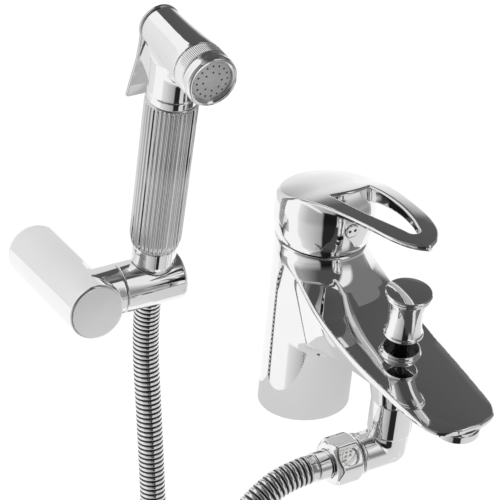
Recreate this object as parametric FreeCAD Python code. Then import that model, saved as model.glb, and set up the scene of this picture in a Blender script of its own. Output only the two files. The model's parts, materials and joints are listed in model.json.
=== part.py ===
import FreeCAD, Part
import math
import os

# Bidet tap: a single lever deck mixer with a diverter in its spout, a hose outlet under the spout,
# a wall bracket with a swivelling holder, a trigger handset, and the metal hose that joins the two.
# Frame: origin at the centre of the tap's base on the deck, -Y to the front, +Y to the wall, +Z up.
# Everything of the mixer above its base is drawn upright and then leaned forward as one.

# Mixer body
COLUMN_LEAN_DEG = 8.6
COLUMN_FOOT_R = 24.0
COLUMN_TOP_R = 23.5
COLUMN_TOP_H = 105.6
COLUMN_EDGE_CHAMFER = 1.3
FOOT_RECESS_R = 18.0
FOOT_RECESS_BACK = -1.5
FOOT_BLOCK_H = 21.0
FOOT_BLOCK_FIT = 0.04
BASE_SEAL_R = 19.2
BASE_SEAL_T = 3.0
BASE_SEAL_GAP = 0.2
INLET_THREAD_R = 5.0
INLET_THREAD_L = 18.0
INLET_SPACING = 16.0
INLET_BACK = 5.0
STUD_THREAD_R = 4.0
STUD_THREAD_L = 20.0
STUD_FRONT = 9.5
SEAL_HOLE_GAP = 0.6
PORT_R = 3.2

# Spout, whose sections stand square to its own run
SPOUT_RIDGE_HALF = 9.6
SPOUT_REACH = 136.5
SPOUT_EDGE_H = 83.3
CHANNEL_R = 6.0
CHANNEL_H = 75.0

# Cartridge
CARTRIDGE_R = 17.5
CARTRIDGE_FLOOR_H = 62.0
CARTRIDGE_TOP_H = 95.0
CARTRIDGE_CLEARANCE = 0.15
CARTRIDGE_WALL = 2.2
FIXED_DISC_R = 13.0
DISC_T = 4.0
MOVING_DISC_R = 10.0
DISC_BACK = 2.6
LIFT_PIVOT_H = 86.5
CARRIER_R = 10.6
CARRIER_T = 12.0
PIN_R = 1.5
STEM_SIDE = 8.0
STEM_TONGUE = 4.0
STEM_TOP_H = 121.0
STEM_FOOT_H = 79.5
GLAND_T = 8.0
GLAND_BORE_R = 14.6
SEAL_WIRE = 1.8

# Cover ring under the lever
COVER_FOOT_R = 20.4
COVER_TOP_R = 14.8
COVER_H = 3.0
COVER_WALL = 1.6

# Lever
LEVER_SEAM = 0.8
LEVER_RIM_R = 23.4
LEVER_LIP_R = 22.9
LEVER_CUP_R = 21.9
LEVER_BULGE_R = 25.3
LEVER_BULGE_H = 117.5
LEVER_SHOULDER_R = 23.6
LEVER_SHOULDER_H = 132.0
LEVER_BARREL_TOP_H = 150.0
LEVER_BARREL_TOP_R = 22.0
LEVER_ROOF = 3.4
LEVER_CROWN_R = 95.0
LEVER_BEVEL = 2.2
LEVER_LIP_T = 2.3
LOOP_BACK_REACH = 21.8
LOOP_BACK_HALF = 10.5
LOOP_TIP_REACH = 75.4
LOOP_TIP_R = 3.0
LOOP_CORNER_R = 1.6
LEVER_TOP = [(-27.0, 125.0), (-23.8, 126.3), (-12.7, 130.9), (5.5, 137.4), (21.8, 143.4),
             (34.4, 146.8), (54.0, 150.8), (66.0, 152.6), (78.0, 153.4), (92.0, 153.2)]
# Stations of the lever's loop: reach, half width at its edge, and thickness at the middle
LEVER_LOOP = [(6.0, 23.2, 12.0), (16.0, 22.4, 10.5), (28.0, 20.8, 8.4), (40.0, 19.0, 7.0), (52.0, 17.2, 6.0),
              (62.0, 15.5, 5.3), (70.0, 13.8, 4.8), (76.0, 11.7, 4.4), (80.5, 9.0, 4.1), (84.0, 5.8, 3.8),
              (86.4, 2.4, 3.6)]
STEM_SOCKET_R = 7.0
STEM_ENGAGE = 8.0
STEM_FIT = 0.05
PLUG_R = 3.5
PLUG_H = 121.8
PLUG_T = 2.2
GRUB_R = 2.5
GRUB_LENGTH = 2.6

# Diverter
DIVERTER_REACH = 76.3
DIVERTER_BORE_R = 6.6
COLLAR_R = 9.4
COLLAR_FOOT_R = 12.5
COLLAR_TOP_H = 87.9
COLLAR_MOUTH_R = 8.5
COLLAR_MOUTH_DEPTH = 8.0
BUSH_T = 3.2
DIVERTER_TRAVEL = 7.0
KNOB_FOOT_H = 95.6
KNOB_TOP_H = 121.5
KNOB_TOP_R = 11.4
KNOB_WAIST_R = 8.2
KNOB_FOOT_R = 9.6
STEM_ROD_R = 3.0
VALVE_HEAD_R = 6.2
VALVE_HEAD_H = 76.4

# Outlet under the spout
OUTLET_BOSS_R = 11.2
OUTLET_BOSS_TOP_R = 15.0
OUTLET_BOSS_FOOT_H = 57.5
OUTLET_R = 10.8
OUTLET_NECK_R = 10.0
OUTLET_STEP_H = 37.5
OUTLET_SPIGOT_R = 8.0
OUTLET_SPIGOT_L = 8.0
OUTLET_BORE_R = 5.5
ELBOW_H = 26.8
ELBOW_LEG_R = 9.9
ELBOW_LEG_END = -18.5
ELBOW_THREAD_R = 8.4
ELBOW_THREAD_L = 8.0
ELBOW_BEAD_R = 10.6
ELBOW_BEAD_T = 1.6

# Aerator
AERATOR_REACH = 125.8
AERATOR_R = 11.1
AERATOR_DROP = 4.6
AERATOR_THREAD_R = 10.4
AERATOR_TOP_H = 82.0
AERATOR_CORE_R = 8.6
SPOUT_SOLE_H = 79.5

# Hose and its ends
HOSE_R = 7.0
HOSE_RIB_DEPTH = 0.7
HOSE_BORE_R = 5.0
HOSE_RIBS = 190
NUT_ACROSS = 22.4
NUT_R = 12.3
NUT_L = 15.5
NUT_TURN_DEG = 24.0
DIMPLE_R = 4.3
DIMPLE_DEPTH = 1.2
FERRULE_R = 7.3
FERRULE_L = 11.5
FERRULE_FLANGE_R = 8.2
WASHER_T = 2.0

# Wall post
POST_X = -104.0
ARM_H = 67.0
POST_H = 65.3
ARM_Y = 43.2
POST_R = 14.9
POST_WALL = 2.5
POST_FRONT_GAP = 2.1
POST_BACK_Y = 105.0
POST_EDGE = 1.5
WALL_PLATE_T = 4.0
WALL_PLATE_R = 14.2
WALL_SCREW_R = 2.1
WALL_SCREW_HEAD_R = 3.9
WALL_SCREW_SPACING = 14.0
POST_GRUB_R = 2.0
POST_GRUB_L = 5.5

# Arm stub and holder
ARM_R = 13.1
HOLDER_SEAM_X = -85.7
HOLDER_END_X = -50.9
HOLDER_SEAM_GAP = 0.3
HOLDER_DOME = 0.7
PIVOT_BOLT_R = 3.0
HOLDER_FIT = 0.12
HOLDER_SLOT = 15.6

# Handset, measured up its own grip from a point inside the holder
GRIP_X = -65.3
GRIP_Y = 46.5
GRIP_Z = 64.2
GRIP_LEAN_DEG = 14.5
CONE_TOP_T = 27.6
CONE_SHOULDER_T = 17.2
CONE_SEAT_T = 10.5
CONE_R = 11.7
CONE_SEAT_R = 10.0
CONE_FOOT_R = 9.4
GRIP_FOOT_T = 28.0
GRIP_TOP_T = 118.0
GRIP_R = 13.3
GRIP_END_R = 12.0
GRIP_BEVEL = 4.5
GRIP_FLUTES = 36
FLUTE_R = 0.75
TUBE_R = 9.0
TUBE_BORE_R = 5.5
NECK_RING_R = 12.6
NECK_RING_T = 4.5
NECK_R = 12.1
HEAD_DIP_DEG = 11.0
HEAD_FACE_Y = -24.4
HEAD_FACE_Z = 200.9
HEAD_LENGTH = 52.6
HEAD_FRONT_R = 12.9
HEAD_BACK_R = 10.6
HEAD_BLEND_R = 5.0
BEZEL_R = 13.0
BEZEL_L = 6.5
BEZEL_LIP_R = 10.4
KNURL_L = 8.0
KNURL_R = 12.9
PLATE_R = 10.2
PLATE_T = 1.6
PLATE_HOLE_R = 0.5
PLATE_RINGS = [(16, 7.9), (8, 4.8)]
GASKET_T = 1.5
VALVE_BORE_R = 5.0
PISTON_R = 2.0
PISTON_STEM_R = 1.6
PISTON_HEAD_R = 4.2
PISTON_HEAD_BACK = 24.9
PISTON_COLLAR_BACK = 29.0
VALVE_SEAT_BACK = 24.0
VALVE_SEAT_R = 3.3
RIVET_R = 2.9
RIVET_GAP = 0.35
SPRING_WIRE_R = 0.4
SPRING_R = 2.5
SPRING_TURNS = 9
SPRING_PITCH = 1.6

# Trigger, a plate that lies on the head's back end and turns on a pin low in the web
TRIGGER_HALF = 7.5
TRIGGER_T = 1.8
TRIGGER_DISC_R = 10.8
TRIGGER_GAP = 0.3
TRIGGER_EAR_R = 2.2
TRIGGER_EAR_HALF = 2.4
TRIGGER_SLOT_GAP = 0.3
TRIGGER_PIVOT_Y = 34.2
TRIGGER_PIVOT_Z = 193.2
TRIGGER_PIN_R = 1.25
TRIGGER_FIT = 0.06
# Points down the plate's inner face below its round pad, as (Y, Z)
TRIGGER_LINE = [(28.3, 207.1), (33.2, 200.2), (38.4, 191.8), (43.6, 182.6), (48.2, 174.2), (52.4, 166.0)]
WEB_HALF = 7.0
# Outline of the web behind the neck, from the head down its back edge and along its lower edge, as (Y, Z)
WEB_LINE = [(6.0, 206.0), (27.9, 206.9), (32.8, 200.0), (37.7, 192.1), (34.5, 190.4), (31.3, 187.8),
            (29.2, 185.0), (28.4, 182.2), (22.0, 181.2), (8.0, 190.0)]

# Route of the hose, from the handset's ferrule down, round and up to the outlet's ferrule
HOSE_START_T = -6.0
HOSE_START_RUN = 28.0
OUTLET_HOSE_X = -42.2
HOSE_MIDDLE_POINTS = [
    (-65.0, 52.4, -22.0),
    (-65.4, 49.4, -82.0),
    (-66.6, 46.6, -146.0),
    (-67.4, 47.0, -212.0),
    (-68.4, 48.4, -280.0),
    (-70.4, 47.0, -348.0),
    (-75.8, 20.0, -394.0),
    (-87.0, -25.5, -412.0),
    (-98.2, -71.0, -394.0),
    (-104.4, -98.0, -346.0),
    (-107.4, -101.6, -276.0),
    (-108.6, -101.0, -206.0),
    (-108.2, -99.4, -138.0),
    (-106.6, -96.0, -80.0),
    (-103.4, -91.6, -39.4),
    (-97.8, -87.4, -15.8),
    (-85.5, -83.4, 1.4),
    (-68.4, -80.6, 11.72),
]
HOSE_OUTLET_RUN = 10.5

X_AXIS = FreeCAD.Vector(1, 0, 0)
Y_AXIS = FreeCAD.Vector(0, 1, 0)
Z_AXIS = FreeCAD.Vector(0, 0, 1)
ORIGIN = FreeCAD.Vector(0, 0, 0)


def vec(x, y, z):
    return FreeCAD.Vector(x, y, z)


def rod(radius, start, end):
    """A cylinder between two points."""
    run = end - start
    return Part.makeCylinder(radius, run.Length, start, run)


def cone(r_start, r_end, start, end):
    """A cone between two points; equal radii give a cylinder."""
    run = end - start
    if abs(r_start - r_end) < 1e-9:
        return Part.makeCylinder(r_start, run.Length, start, run)
    return Part.makeCone(r_start, r_end, run.Length, start, run)


def tube(r_out, r_in, start, end):
    return rod(r_out, start, end).cut(rod(r_in, start, end))


def turned(profile, origin, axis):
    """A solid turned about an axis from (radius, height) corners."""
    axis = vec(axis.x, axis.y, axis.z)
    axis.normalize()
    side = X_AXIS if abs(axis.x) < 0.9 else Y_AXIS
    out = side - axis * side.dot(axis)
    out.normalize()
    points = [origin + out * r + axis * h for r, h in profile]
    wire = Part.makePolygon(points + [points[0]])
    return Part.Face(wire).revolve(origin, axis, 360)


def lean(shape):
    """Lean an upright mixer piece forward with the column."""
    moved = shape.copy()
    moved.rotate(ORIGIN, X_AXIS, COLUMN_LEAN_DEG)
    return moved


def upright(reach, height, x=0.0):
    """A point of the upright mixer: reach to the front, height up the column."""
    return vec(x, -reach, height)


def spline_edge(points):
    curve = Part.BSplineCurve()
    curve.interpolate(points)
    return curve.toShape()


# Spout sections: reach, top height at the middle, ridge height, half width at the edge and its height,
# half width and height of the lower corner, and height of the sole
SPOUT_SECTIONS = [
    (3.0, 103.5, 102.5, 21.5, 97.0, 16.0, 51.0, 48.5),
    (14.0, 102.5, 100.5, 22.6, 94.0, 16.6, 52.5, 50.0),
    (24.0, 97.5, 96.0, 23.2, 91.0, 17.0, 56.0, 53.0),
    (34.0, 91.4, 91.0, 23.5, 88.2, 17.3, 60.0, 57.0),
    (46.0, 87.4, 87.1, 23.6, 85.8, 17.5, 64.5, 61.0),
    (62.0, 85.7, 85.4, 23.5, 84.1, 17.6, 69.3, 66.0),
    (78.0, 85.2, 84.9, 23.0, SPOUT_EDGE_H, 17.8, 73.0, 70.0),
    (96.0, 85.2, 84.9, 22.0, SPOUT_EDGE_H, 18.2, 77.0, 74.5),
    (112.0, 85.2, 84.9, 20.8, SPOUT_EDGE_H, 18.0, 79.6, 77.6),
    (124.0, 85.1, 84.8, 19.6, SPOUT_EDGE_H, 17.0, 80.0, SPOUT_SOLE_H),
    (131.0, 84.9, 84.6, 16.6, SPOUT_EDGE_H, 14.2, 80.2, SPOUT_SOLE_H),
    (SPOUT_REACH, 84.2, 84.0, 9.0, SPOUT_EDGE_H, 7.0, 80.6, SPOUT_SOLE_H + 0.4),
]


def spout_section(reach, top, ridge, edge, edge_h, low, low_h, sole):
    """One section across the spout: crowned top, a crisp upright lip at each side, and a rounded hull."""
    ridge_half = min(SPOUT_RIDGE_HALF, 0.55 * edge)
    lip_h = edge_h - 0.35 * (edge_h - low_h)
    crown = [upright(reach, edge_h, edge), upright(reach, ridge, ridge_half), upright(reach, top),
             upright(reach, ridge, -ridge_half), upright(reach, edge_h, -edge)]
    hull = [upright(reach, lip_h, -edge), upright(reach, low_h, -low), upright(reach, sole + 0.3, -0.5 * low),
            upright(reach, sole), upright(reach, sole + 0.3, 0.5 * low), upright(reach, low_h, low),
            upright(reach, lip_h, edge)]
    return Part.Wire([spline_edge(crown), Part.makeLine(crown[-1], hull[0]),
                      spline_edge(hull), Part.makeLine(hull[-1], crown[0])])


def spout_solid():
    return Part.makeLoft([spout_section(*s) for s in SPOUT_SECTIONS], True, False)


def tap_body():
    """The cast body: column, spout, bosses and all the bores in it."""
    column = turned(
        [(0, -8), (COLUMN_FOOT_R, -8), (COLUMN_FOOT_R, 0),
         (COLUMN_TOP_R, COLUMN_TOP_H - COLUMN_EDGE_CHAMFER),
         (COLUMN_TOP_R - COLUMN_EDGE_CHAMFER, COLUMN_TOP_H), (0, COLUMN_TOP_H)],
        ORIGIN, Z_AXIS)
    body = column.fuse(spout_solid())
    collar = turned(
        [(0, CHANNEL_H), (COLLAR_FOOT_R, CHANNEL_H), (COLLAR_FOOT_R, SPOUT_EDGE_H),
         (COLLAR_R, COLLAR_TOP_H - 1.4), (COLLAR_R, COLLAR_TOP_H), (0, COLLAR_TOP_H)],
        upright(DIVERTER_REACH, 0), Z_AXIS)
    boss = cone(OUTLET_BOSS_R, OUTLET_BOSS_TOP_R,
                upright(DIVERTER_REACH, OUTLET_BOSS_FOOT_H), upright(DIVERTER_REACH, CHANNEL_H))
    sole_boss = rod(AERATOR_R + 0.6, upright(AERATOR_REACH, SPOUT_SOLE_H),
                    upright(AERATOR_REACH, SPOUT_EDGE_H))
    body = body.fuse([collar, boss, sole_boss])
    cartridge_well = rod(CARTRIDGE_R + CARTRIDGE_CLEARANCE, upright(0, CARTRIDGE_FLOOR_H),
                         upright(0, COLUMN_TOP_H + 1))
    channel = rod(CHANNEL_R, upright(0, CHANNEL_H), upright(AERATOR_REACH, CHANNEL_H + 1.5))
    bore = rod(DIVERTER_BORE_R, upright(DIVERTER_REACH, OUTLET_BOSS_FOOT_H - 1),
               upright(DIVERTER_REACH, COLLAR_TOP_H))
    socket = rod(OUTLET_SPIGOT_R, upright(DIVERTER_REACH, OUTLET_BOSS_FOOT_H - 1),
                 upright(DIVERTER_REACH, OUTLET_BOSS_FOOT_H + OUTLET_SPIGOT_L))
    mouth = rod(COLLAR_MOUTH_R, upright(DIVERTER_REACH, COLLAR_TOP_H - COLLAR_MOUTH_DEPTH),
                upright(DIVERTER_REACH, COLLAR_TOP_H + 1))
    aerator_seat = rod(AERATOR_THREAD_R, upright(AERATOR_REACH, SPOUT_SOLE_H - 3),
                       upright(AERATOR_REACH, AERATOR_TOP_H))
    aerator_rebate = rod(AERATOR_R + 0.3, upright(AERATOR_REACH, SPOUT_SOLE_H - 8),
                         upright(AERATOR_REACH, SPOUT_SOLE_H))
    body = body.cut([cartridge_well, channel, bore, socket, mouth, aerator_seat, aerator_rebate])
    body = lean(body)
    below_deck = Part.makeBox(200, 300, 60, vec(-100, -200, -60))
    body = body.cut(below_deck)
    recess = rod(FOOT_RECESS_R, foot_middle(-1), foot_middle(foot_block_top()))
    rebate = rod(BASE_SEAL_R + 0.1, vec(0, 0, -1), vec(0, 0, BASE_SEAL_T + BASE_SEAL_GAP))
    return body.cut([recess, rebate] + inlet_ways())


def foot_middle(height):
    return vec(0, FOOT_RECESS_BACK, height)


def foot_block_floor():
    return BASE_SEAL_T + BASE_SEAL_GAP


def foot_block_top():
    return foot_block_floor() + FOOT_BLOCK_H


def inlet_ways():
    """The two slanted water ways from the foot block up to the cartridge."""
    ways = []
    for side in (-0.5, 0.5):
        low = vec(side * INLET_SPACING, INLET_BACK, foot_block_floor() + INLET_THREAD_L - 1)
        high = lean_point(upright(0, CARTRIDGE_FLOOR_H + 1, side * INLET_SPACING * 0.7))
        ways.append(rod(PORT_R, low, high))
    return ways


def foot_block():
    """Brass block pressed into the foot, threaded for two supply hoses and the fixing stud."""
    low = foot_block_floor()
    block = rod(FOOT_RECESS_R - FOOT_BLOCK_FIT, foot_middle(low), foot_middle(foot_block_top() - FOOT_BLOCK_FIT))
    cuts = inlet_ways()
    for side in (-0.5, 0.5):
        x = side * INLET_SPACING
        cuts.append(rod(INLET_THREAD_R, vec(x, INLET_BACK, low - 1), vec(x, INLET_BACK, low + INLET_THREAD_L)))
    cuts.append(rod(STUD_THREAD_R, vec(0, -STUD_FRONT, low - 1), vec(0, -STUD_FRONT, low + STUD_THREAD_L)))
    return block.cut(cuts)


def lean_point(point):
    angle = math.radians(COLUMN_LEAN_DEG)
    return vec(point.x, point.y * math.cos(angle) - point.z * math.sin(angle),
               point.y * math.sin(angle) + point.z * math.cos(angle))


def ring_seal(radius, wire, centre, axis=Z_AXIS):
    return Part.makeTorus(radius, wire / 2, centre, axis)


def base_seal():
    """Flat rubber gasket let into the foot, flush with the deck, with holes for the hoses and the stud."""
    holes = []
    for side in (-0.5, 0.5):
        x = side * INLET_SPACING
        holes.append(rod(INLET_THREAD_R + SEAL_HOLE_GAP, vec(x, INLET_BACK, -1), vec(x, INLET_BACK, BASE_SEAL_T + 1)))
    holes.append(rod(STUD_THREAD_R + SEAL_HOLE_GAP, vec(0, -STUD_FRONT, -1), vec(0, -STUD_FRONT, BASE_SEAL_T + 1)))
    return rod(BASE_SEAL_R, vec(0, 0, 0), vec(0, 0, BASE_SEAL_T)).cut(holes)


def cartridge_housing():
    low = CARTRIDGE_FLOOR_H
    shell = turned(
        [(0, low), (CARTRIDGE_R, low), (CARTRIDGE_R, CARTRIDGE_TOP_H), (11.8, CARTRIDGE_TOP_H),
         (11.8, CARTRIDGE_TOP_H - 2.5), (CARRIER_R + 0.1, CARTRIDGE_TOP_H - 2.5),
         (CARRIER_R + 0.1, low + CARTRIDGE_WALL + 2 * DISC_T),
         (FIXED_DISC_R + 0.1, low + CARTRIDGE_WALL + 2 * DISC_T),
         (FIXED_DISC_R + 0.1, low + CARTRIDGE_WALL), (0, low + CARTRIDGE_WALL)],
        ORIGIN, Z_AXIS)
    ports = [rod(PORT_R, upright(0, low - 1, x), upright(0, low + CARTRIDGE_WALL + 1, x))
             for x in (-INLET_SPACING * 0.35, INLET_SPACING * 0.35)]
    outlet = rod(CHANNEL_R - 1, upright(FIXED_DISC_R - 1, CHANNEL_H + 0.2),
                 upright(CARTRIDGE_R + 1, CHANNEL_H + 0.4))
    return lean(shell.cut(ports + [outlet]))


def fixed_disc():
    low = CARTRIDGE_FLOOR_H + CARTRIDGE_WALL
    disc = rod(FIXED_DISC_R, upright(0, low), upright(0, low + DISC_T))
    ports = [rod(PORT_R, upright(0, low - 1, x), upright(0, low + DISC_T + 1, x))
             for x in (-INLET_SPACING * 0.35, INLET_SPACING * 0.35)]
    ports.append(rod(2.6, upright(8, low - 1), upright(8, low + DISC_T + 1)))
    return lean(disc.cut(ports))


def moving_disc():
    low = CARTRIDGE_FLOOR_H + CARTRIDGE_WALL + DISC_T
    disc = rod(MOVING_DISC_R, upright(-DISC_BACK, low), upright(-DISC_BACK, low + DISC_T - 0.2))
    hollow = Part.makeBox(9, 5, DISC_T / 2 - 0.6, upright(4, low - 0.01, -4.5))
    notch = Part.makeBox(STEM_TONGUE + 0.2, 5.0, 2.2, upright(2.5, low + DISC_T - 1.9, -STEM_TONGUE / 2 - 0.1))
    return lean(disc.cut([hollow, notch]))


def stem_carrier():
    foot = STEM_FOOT_H + 1.2
    carrier = rod(CARRIER_R, upright(0, foot), upright(0, foot + CARRIER_T - 1.2))
    slot = Part.makeBox(STEM_SIDE + 0.3, 2 * CARRIER_R + 2, CARRIER_T + 2,
                        upright(CARRIER_R + 1, foot - 1, -(STEM_SIDE + 0.3) / 2))
    pin = rod(PIN_R, upright(0, LIFT_PIVOT_H, -CARRIER_R - 1), upright(0, LIFT_PIVOT_H, CARRIER_R + 1))
    walls = carrier.cut([slot, pin])
    bridge = tube(CARRIER_R, 6.6, upright(0, foot), upright(0, foot + 1.6))
    return lean(walls.fuse(bridge))


def stem_pin():
    return lean(rod(PIN_R - 0.03, upright(0, LIFT_PIVOT_H, -CARRIER_R + 0.6),
                    upright(0, LIFT_PIVOT_H, CARRIER_R - 0.6)))


def lever_stem():
    half = STEM_SIDE / 2
    bar = Part.makeBox(STEM_SIDE, STEM_SIDE, STEM_TOP_H - LIFT_PIVOT_H + 3.6,
                       upright(half, LIFT_PIVOT_H - 3.6, -half))
    tongue = cone(1.7, 2.4, upright(0, LIFT_PIVOT_H - 15.6), upright(0, LIFT_PIVOT_H - 3.0))
    pin = rod(PIN_R, upright(0, LIFT_PIVOT_H, -half - 1), upright(0, LIFT_PIVOT_H, half + 1))
    return lean(bar.fuse(tongue).cut(pin))


def gland_nut():
    """Ring nut over the cartridge, with six notches for its key."""
    low = CARTRIDGE_TOP_H
    outer = CARTRIDGE_R + CARTRIDGE_CLEARANCE - 0.05
    ring = tube(outer, GLAND_BORE_R, upright(0, low), upright(0, low + GLAND_T))
    notches = []
    for k in range(6):
        box = Part.makeBox(3, 3, 2.5, vec(GLAND_BORE_R - 0.5, -1.5, low + GLAND_T - 2.4))
        box.rotate(ORIGIN, Z_AXIS, 60 * k)
        notches.append(box)
    return lean(ring.cut(notches))


def cover_ring():
    """Shallow polished ring on the column's top, inside the lever's skirt."""
    low = COLUMN_TOP_H
    inner = COVER_TOP_R
    profile = [(inner, low), (COVER_FOOT_R, low), (COVER_FOOT_R, low + 0.4),
               (COVER_TOP_R + COVER_WALL, low + COVER_H), (inner, low + COVER_H)]
    spigot = [(inner, low - 3.5), (CARTRIDGE_R + 0.05, low - 3.5), (CARTRIDGE_R + 0.05, low), (inner, low)]
    ring = turned(profile, ORIGIN, Z_AXIS).fuse(turned(spigot, ORIGIN, Z_AXIS))
    gland_top = CARTRIDGE_TOP_H + GLAND_T
    clearance = rod(CARTRIDGE_R + 1, upright(0, low - 10), upright(0, gland_top + 0.05))
    return lean(ring.cut(clearance))


def lever_top_height(reach):
    """Height of the lever's top in its middle plane, straight between its stations."""
    stations = LEVER_TOP
    for (r0, h0), (r1, h1) in zip(stations, stations[1:]):
        if r0 <= reach <= r1:
            return h0 + (h1 - h0) * (reach - r0) / (r1 - r0)
    return stations[-1][1]


def crown_drop(x):
    return LEVER_CROWN_R - math.sqrt(LEVER_CROWN_R ** 2 - x * x)


def under_top_surface(drop, half_width):
    """Everything below the lever's crowned top surface, lowered by drop."""
    wires = []
    side_drop = crown_drop(half_width)
    for reach, height in LEVER_TOP:
        left = upright(reach, height - drop - side_drop, -half_width)
        right = upright(reach, height - drop - side_drop, half_width)
        crown = Part.Arc(left, upright(reach, height - drop), right).toShape()
        low_left, low_right = upright(reach, 90.0, -half_width), upright(reach, 90.0, half_width)
        wires.append(Part.Wire([crown, Part.makeLine(right, low_right), Part.makeLine(low_right, low_left),
                                Part.makeLine(low_left, left)]))
    return Part.makeLoft(wires, True, False)


def loop_section(reach, half, thickness):
    """One section across the loop: crowned top, thin edge, bevel under it, flat sole."""
    top = lever_top_height(reach)
    edge_h = top - crown_drop(half)
    bevel = min(LEVER_BEVEL, 0.45 * half)
    left, right = upright(reach, edge_h, -half), upright(reach, edge_h, half)
    crown = Part.Arc(left, upright(reach, top), right).toShape()
    lip_r, lip_l = upright(reach, edge_h - LEVER_LIP_T * 0.5, half), upright(reach, edge_h - LEVER_LIP_T * 0.5, -half)
    sole_r = upright(reach, top - thickness, half - bevel)
    sole_l = upright(reach, top - thickness, -half + bevel)
    return Part.Wire([crown, Part.makeLine(right, lip_r), Part.makeLine(lip_r, sole_r),
                      Part.makeLine(sole_r, sole_l), Part.makeLine(sole_l, lip_l), Part.makeLine(lip_l, left)])


def loop_opening():
    """The rounded triangle through the lever."""
    back_y = -LOOP_BACK_REACH + 6.0
    tip_y = -(LOOP_TIP_REACH - LOOP_TIP_R)
    corners = [vec(-LOOP_BACK_HALF, back_y, 100), vec(LOOP_BACK_HALF, back_y, 100),
               vec(LOOP_TIP_R, tip_y, 100), vec(-LOOP_TIP_R, tip_y, 100)]
    wire = Part.makePolygon(corners + [corners[0]])
    prism = Part.Face(wire).extrude(vec(0, 0, 70))
    tip = rod(LOOP_TIP_R, vec(0, tip_y, 100), vec(0, tip_y, 170))
    bow = Part.Arc(corners[1], vec(LOOP_BACK_HALF - 1.2, (back_y + tip_y) / 2, 100), corners[2]).toShape()
    side = Part.Face(Part.Wire([bow, Part.makeLine(corners[2], corners[1])])).extrude(vec(0, 0, 70))
    return prism.fuse([tip, side, side.mirror(ORIGIN, X_AXIS)])


def lever_handle():
    rim_h = COLUMN_TOP_H + LEVER_SEAM
    barrel_curve = [vec(LEVER_RIM_R, 0, rim_h), vec(LEVER_BULGE_R - 0.6, 0, rim_h + 4.8),
                    vec(LEVER_BULGE_R, 0, LEVER_BULGE_H), vec(LEVER_BULGE_R - 0.4, 0, LEVER_BULGE_H + 7.0),
                    vec(LEVER_SHOULDER_R, 0, LEVER_SHOULDER_H), vec(LEVER_BARREL_TOP_R + 0.4, 0, LEVER_BARREL_TOP_H - 10.0),
                    vec(LEVER_BARREL_TOP_R, 0, LEVER_BARREL_TOP_H)]
    barrel_top = vec(0, 0, LEVER_BARREL_TOP_H)
    outline = Part.Wire([spline_edge(barrel_curve), Part.makeLine(barrel_curve[-1], barrel_top),
                         Part.makeLine(barrel_top, vec(0, 0, rim_h)),
                         Part.makeLine(vec(0, 0, rim_h), barrel_curve[0])])
    barrel = Part.Face(outline).revolve(ORIGIN, Z_AXIS, 360)
    barrel = barrel.common(under_top_surface(0, 40))
    loop = Part.makeLoft([loop_section(*station) for station in LEVER_LOOP], True, False)
    cup = turned([(0, rim_h - 1), (LEVER_LIP_R + 0.5, rim_h - 1), (LEVER_LIP_R, rim_h),
                  (LEVER_CUP_R, rim_h + 2), (LEVER_CUP_R, LEVER_BULGE_H + 1.5),
                  (LEVER_BARREL_TOP_R - 1.8, LEVER_BARREL_TOP_H), (0, LEVER_BARREL_TOP_H)], ORIGIN, Z_AXIS)
    cup = cup.common(under_top_surface(LEVER_ROOF, 40))
    socket = rod(STEM_SOCKET_R, upright(0, STEM_TOP_H - STEM_ENGAGE), upright(0, LEVER_BARREL_TOP_H))
    socket = socket.common(under_top_surface(1.0, 40))
    half = STEM_SIDE / 2 + STEM_FIT
    square = Part.makeBox(2 * half, 2 * half, STEM_TOP_H + 0.2 - (STEM_TOP_H - STEM_ENGAGE) + 1,
                          upright(half, (STEM_TOP_H - STEM_ENGAGE) - 1, -half))
    key_way = rod(GRUB_R + 0.03, upright(0, PLUG_H - 5), upright(STEM_SOCKET_R + 3, PLUG_H - 5))
    plug_hole = rod(PLUG_R + 0.05, upright(15, PLUG_H), upright(LEVER_BULGE_R + 3, PLUG_H))
    body = barrel.fuse(loop.cut(loop_opening())).cut(cup)
    body = body.fuse(socket)
    return lean(body.cut([square, key_way, plug_hole]))


def grub_screw():
    start = STEM_SIDE / 2 + 0.05
    screw = rod(GRUB_R, upright(start, PLUG_H - 5), upright(start + GRUB_LENGTH, PLUG_H - 5))
    key = Part.makeBox(2.0, 1.4, 2.0, upright(start + GRUB_LENGTH + 0.2, PLUG_H - 6, -1.0))
    return lean(screw.cut(key))


def index_plug():
    """Round button in the barrel with two round dots, one for hot and one for cold."""
    face = LEVER_BULGE_R + 0.35
    plug = rod(PLUG_R, upright(face - PLUG_T, PLUG_H), upright(face, PLUG_H))
    dots = [rod(0.65, upright(face - 0.3, PLUG_H + 0.3, x), upright(face + 1, PLUG_H + 0.3, x))
            for x in (-1.5, 1.5)]
    return lean(plug.cut(dots))


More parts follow.
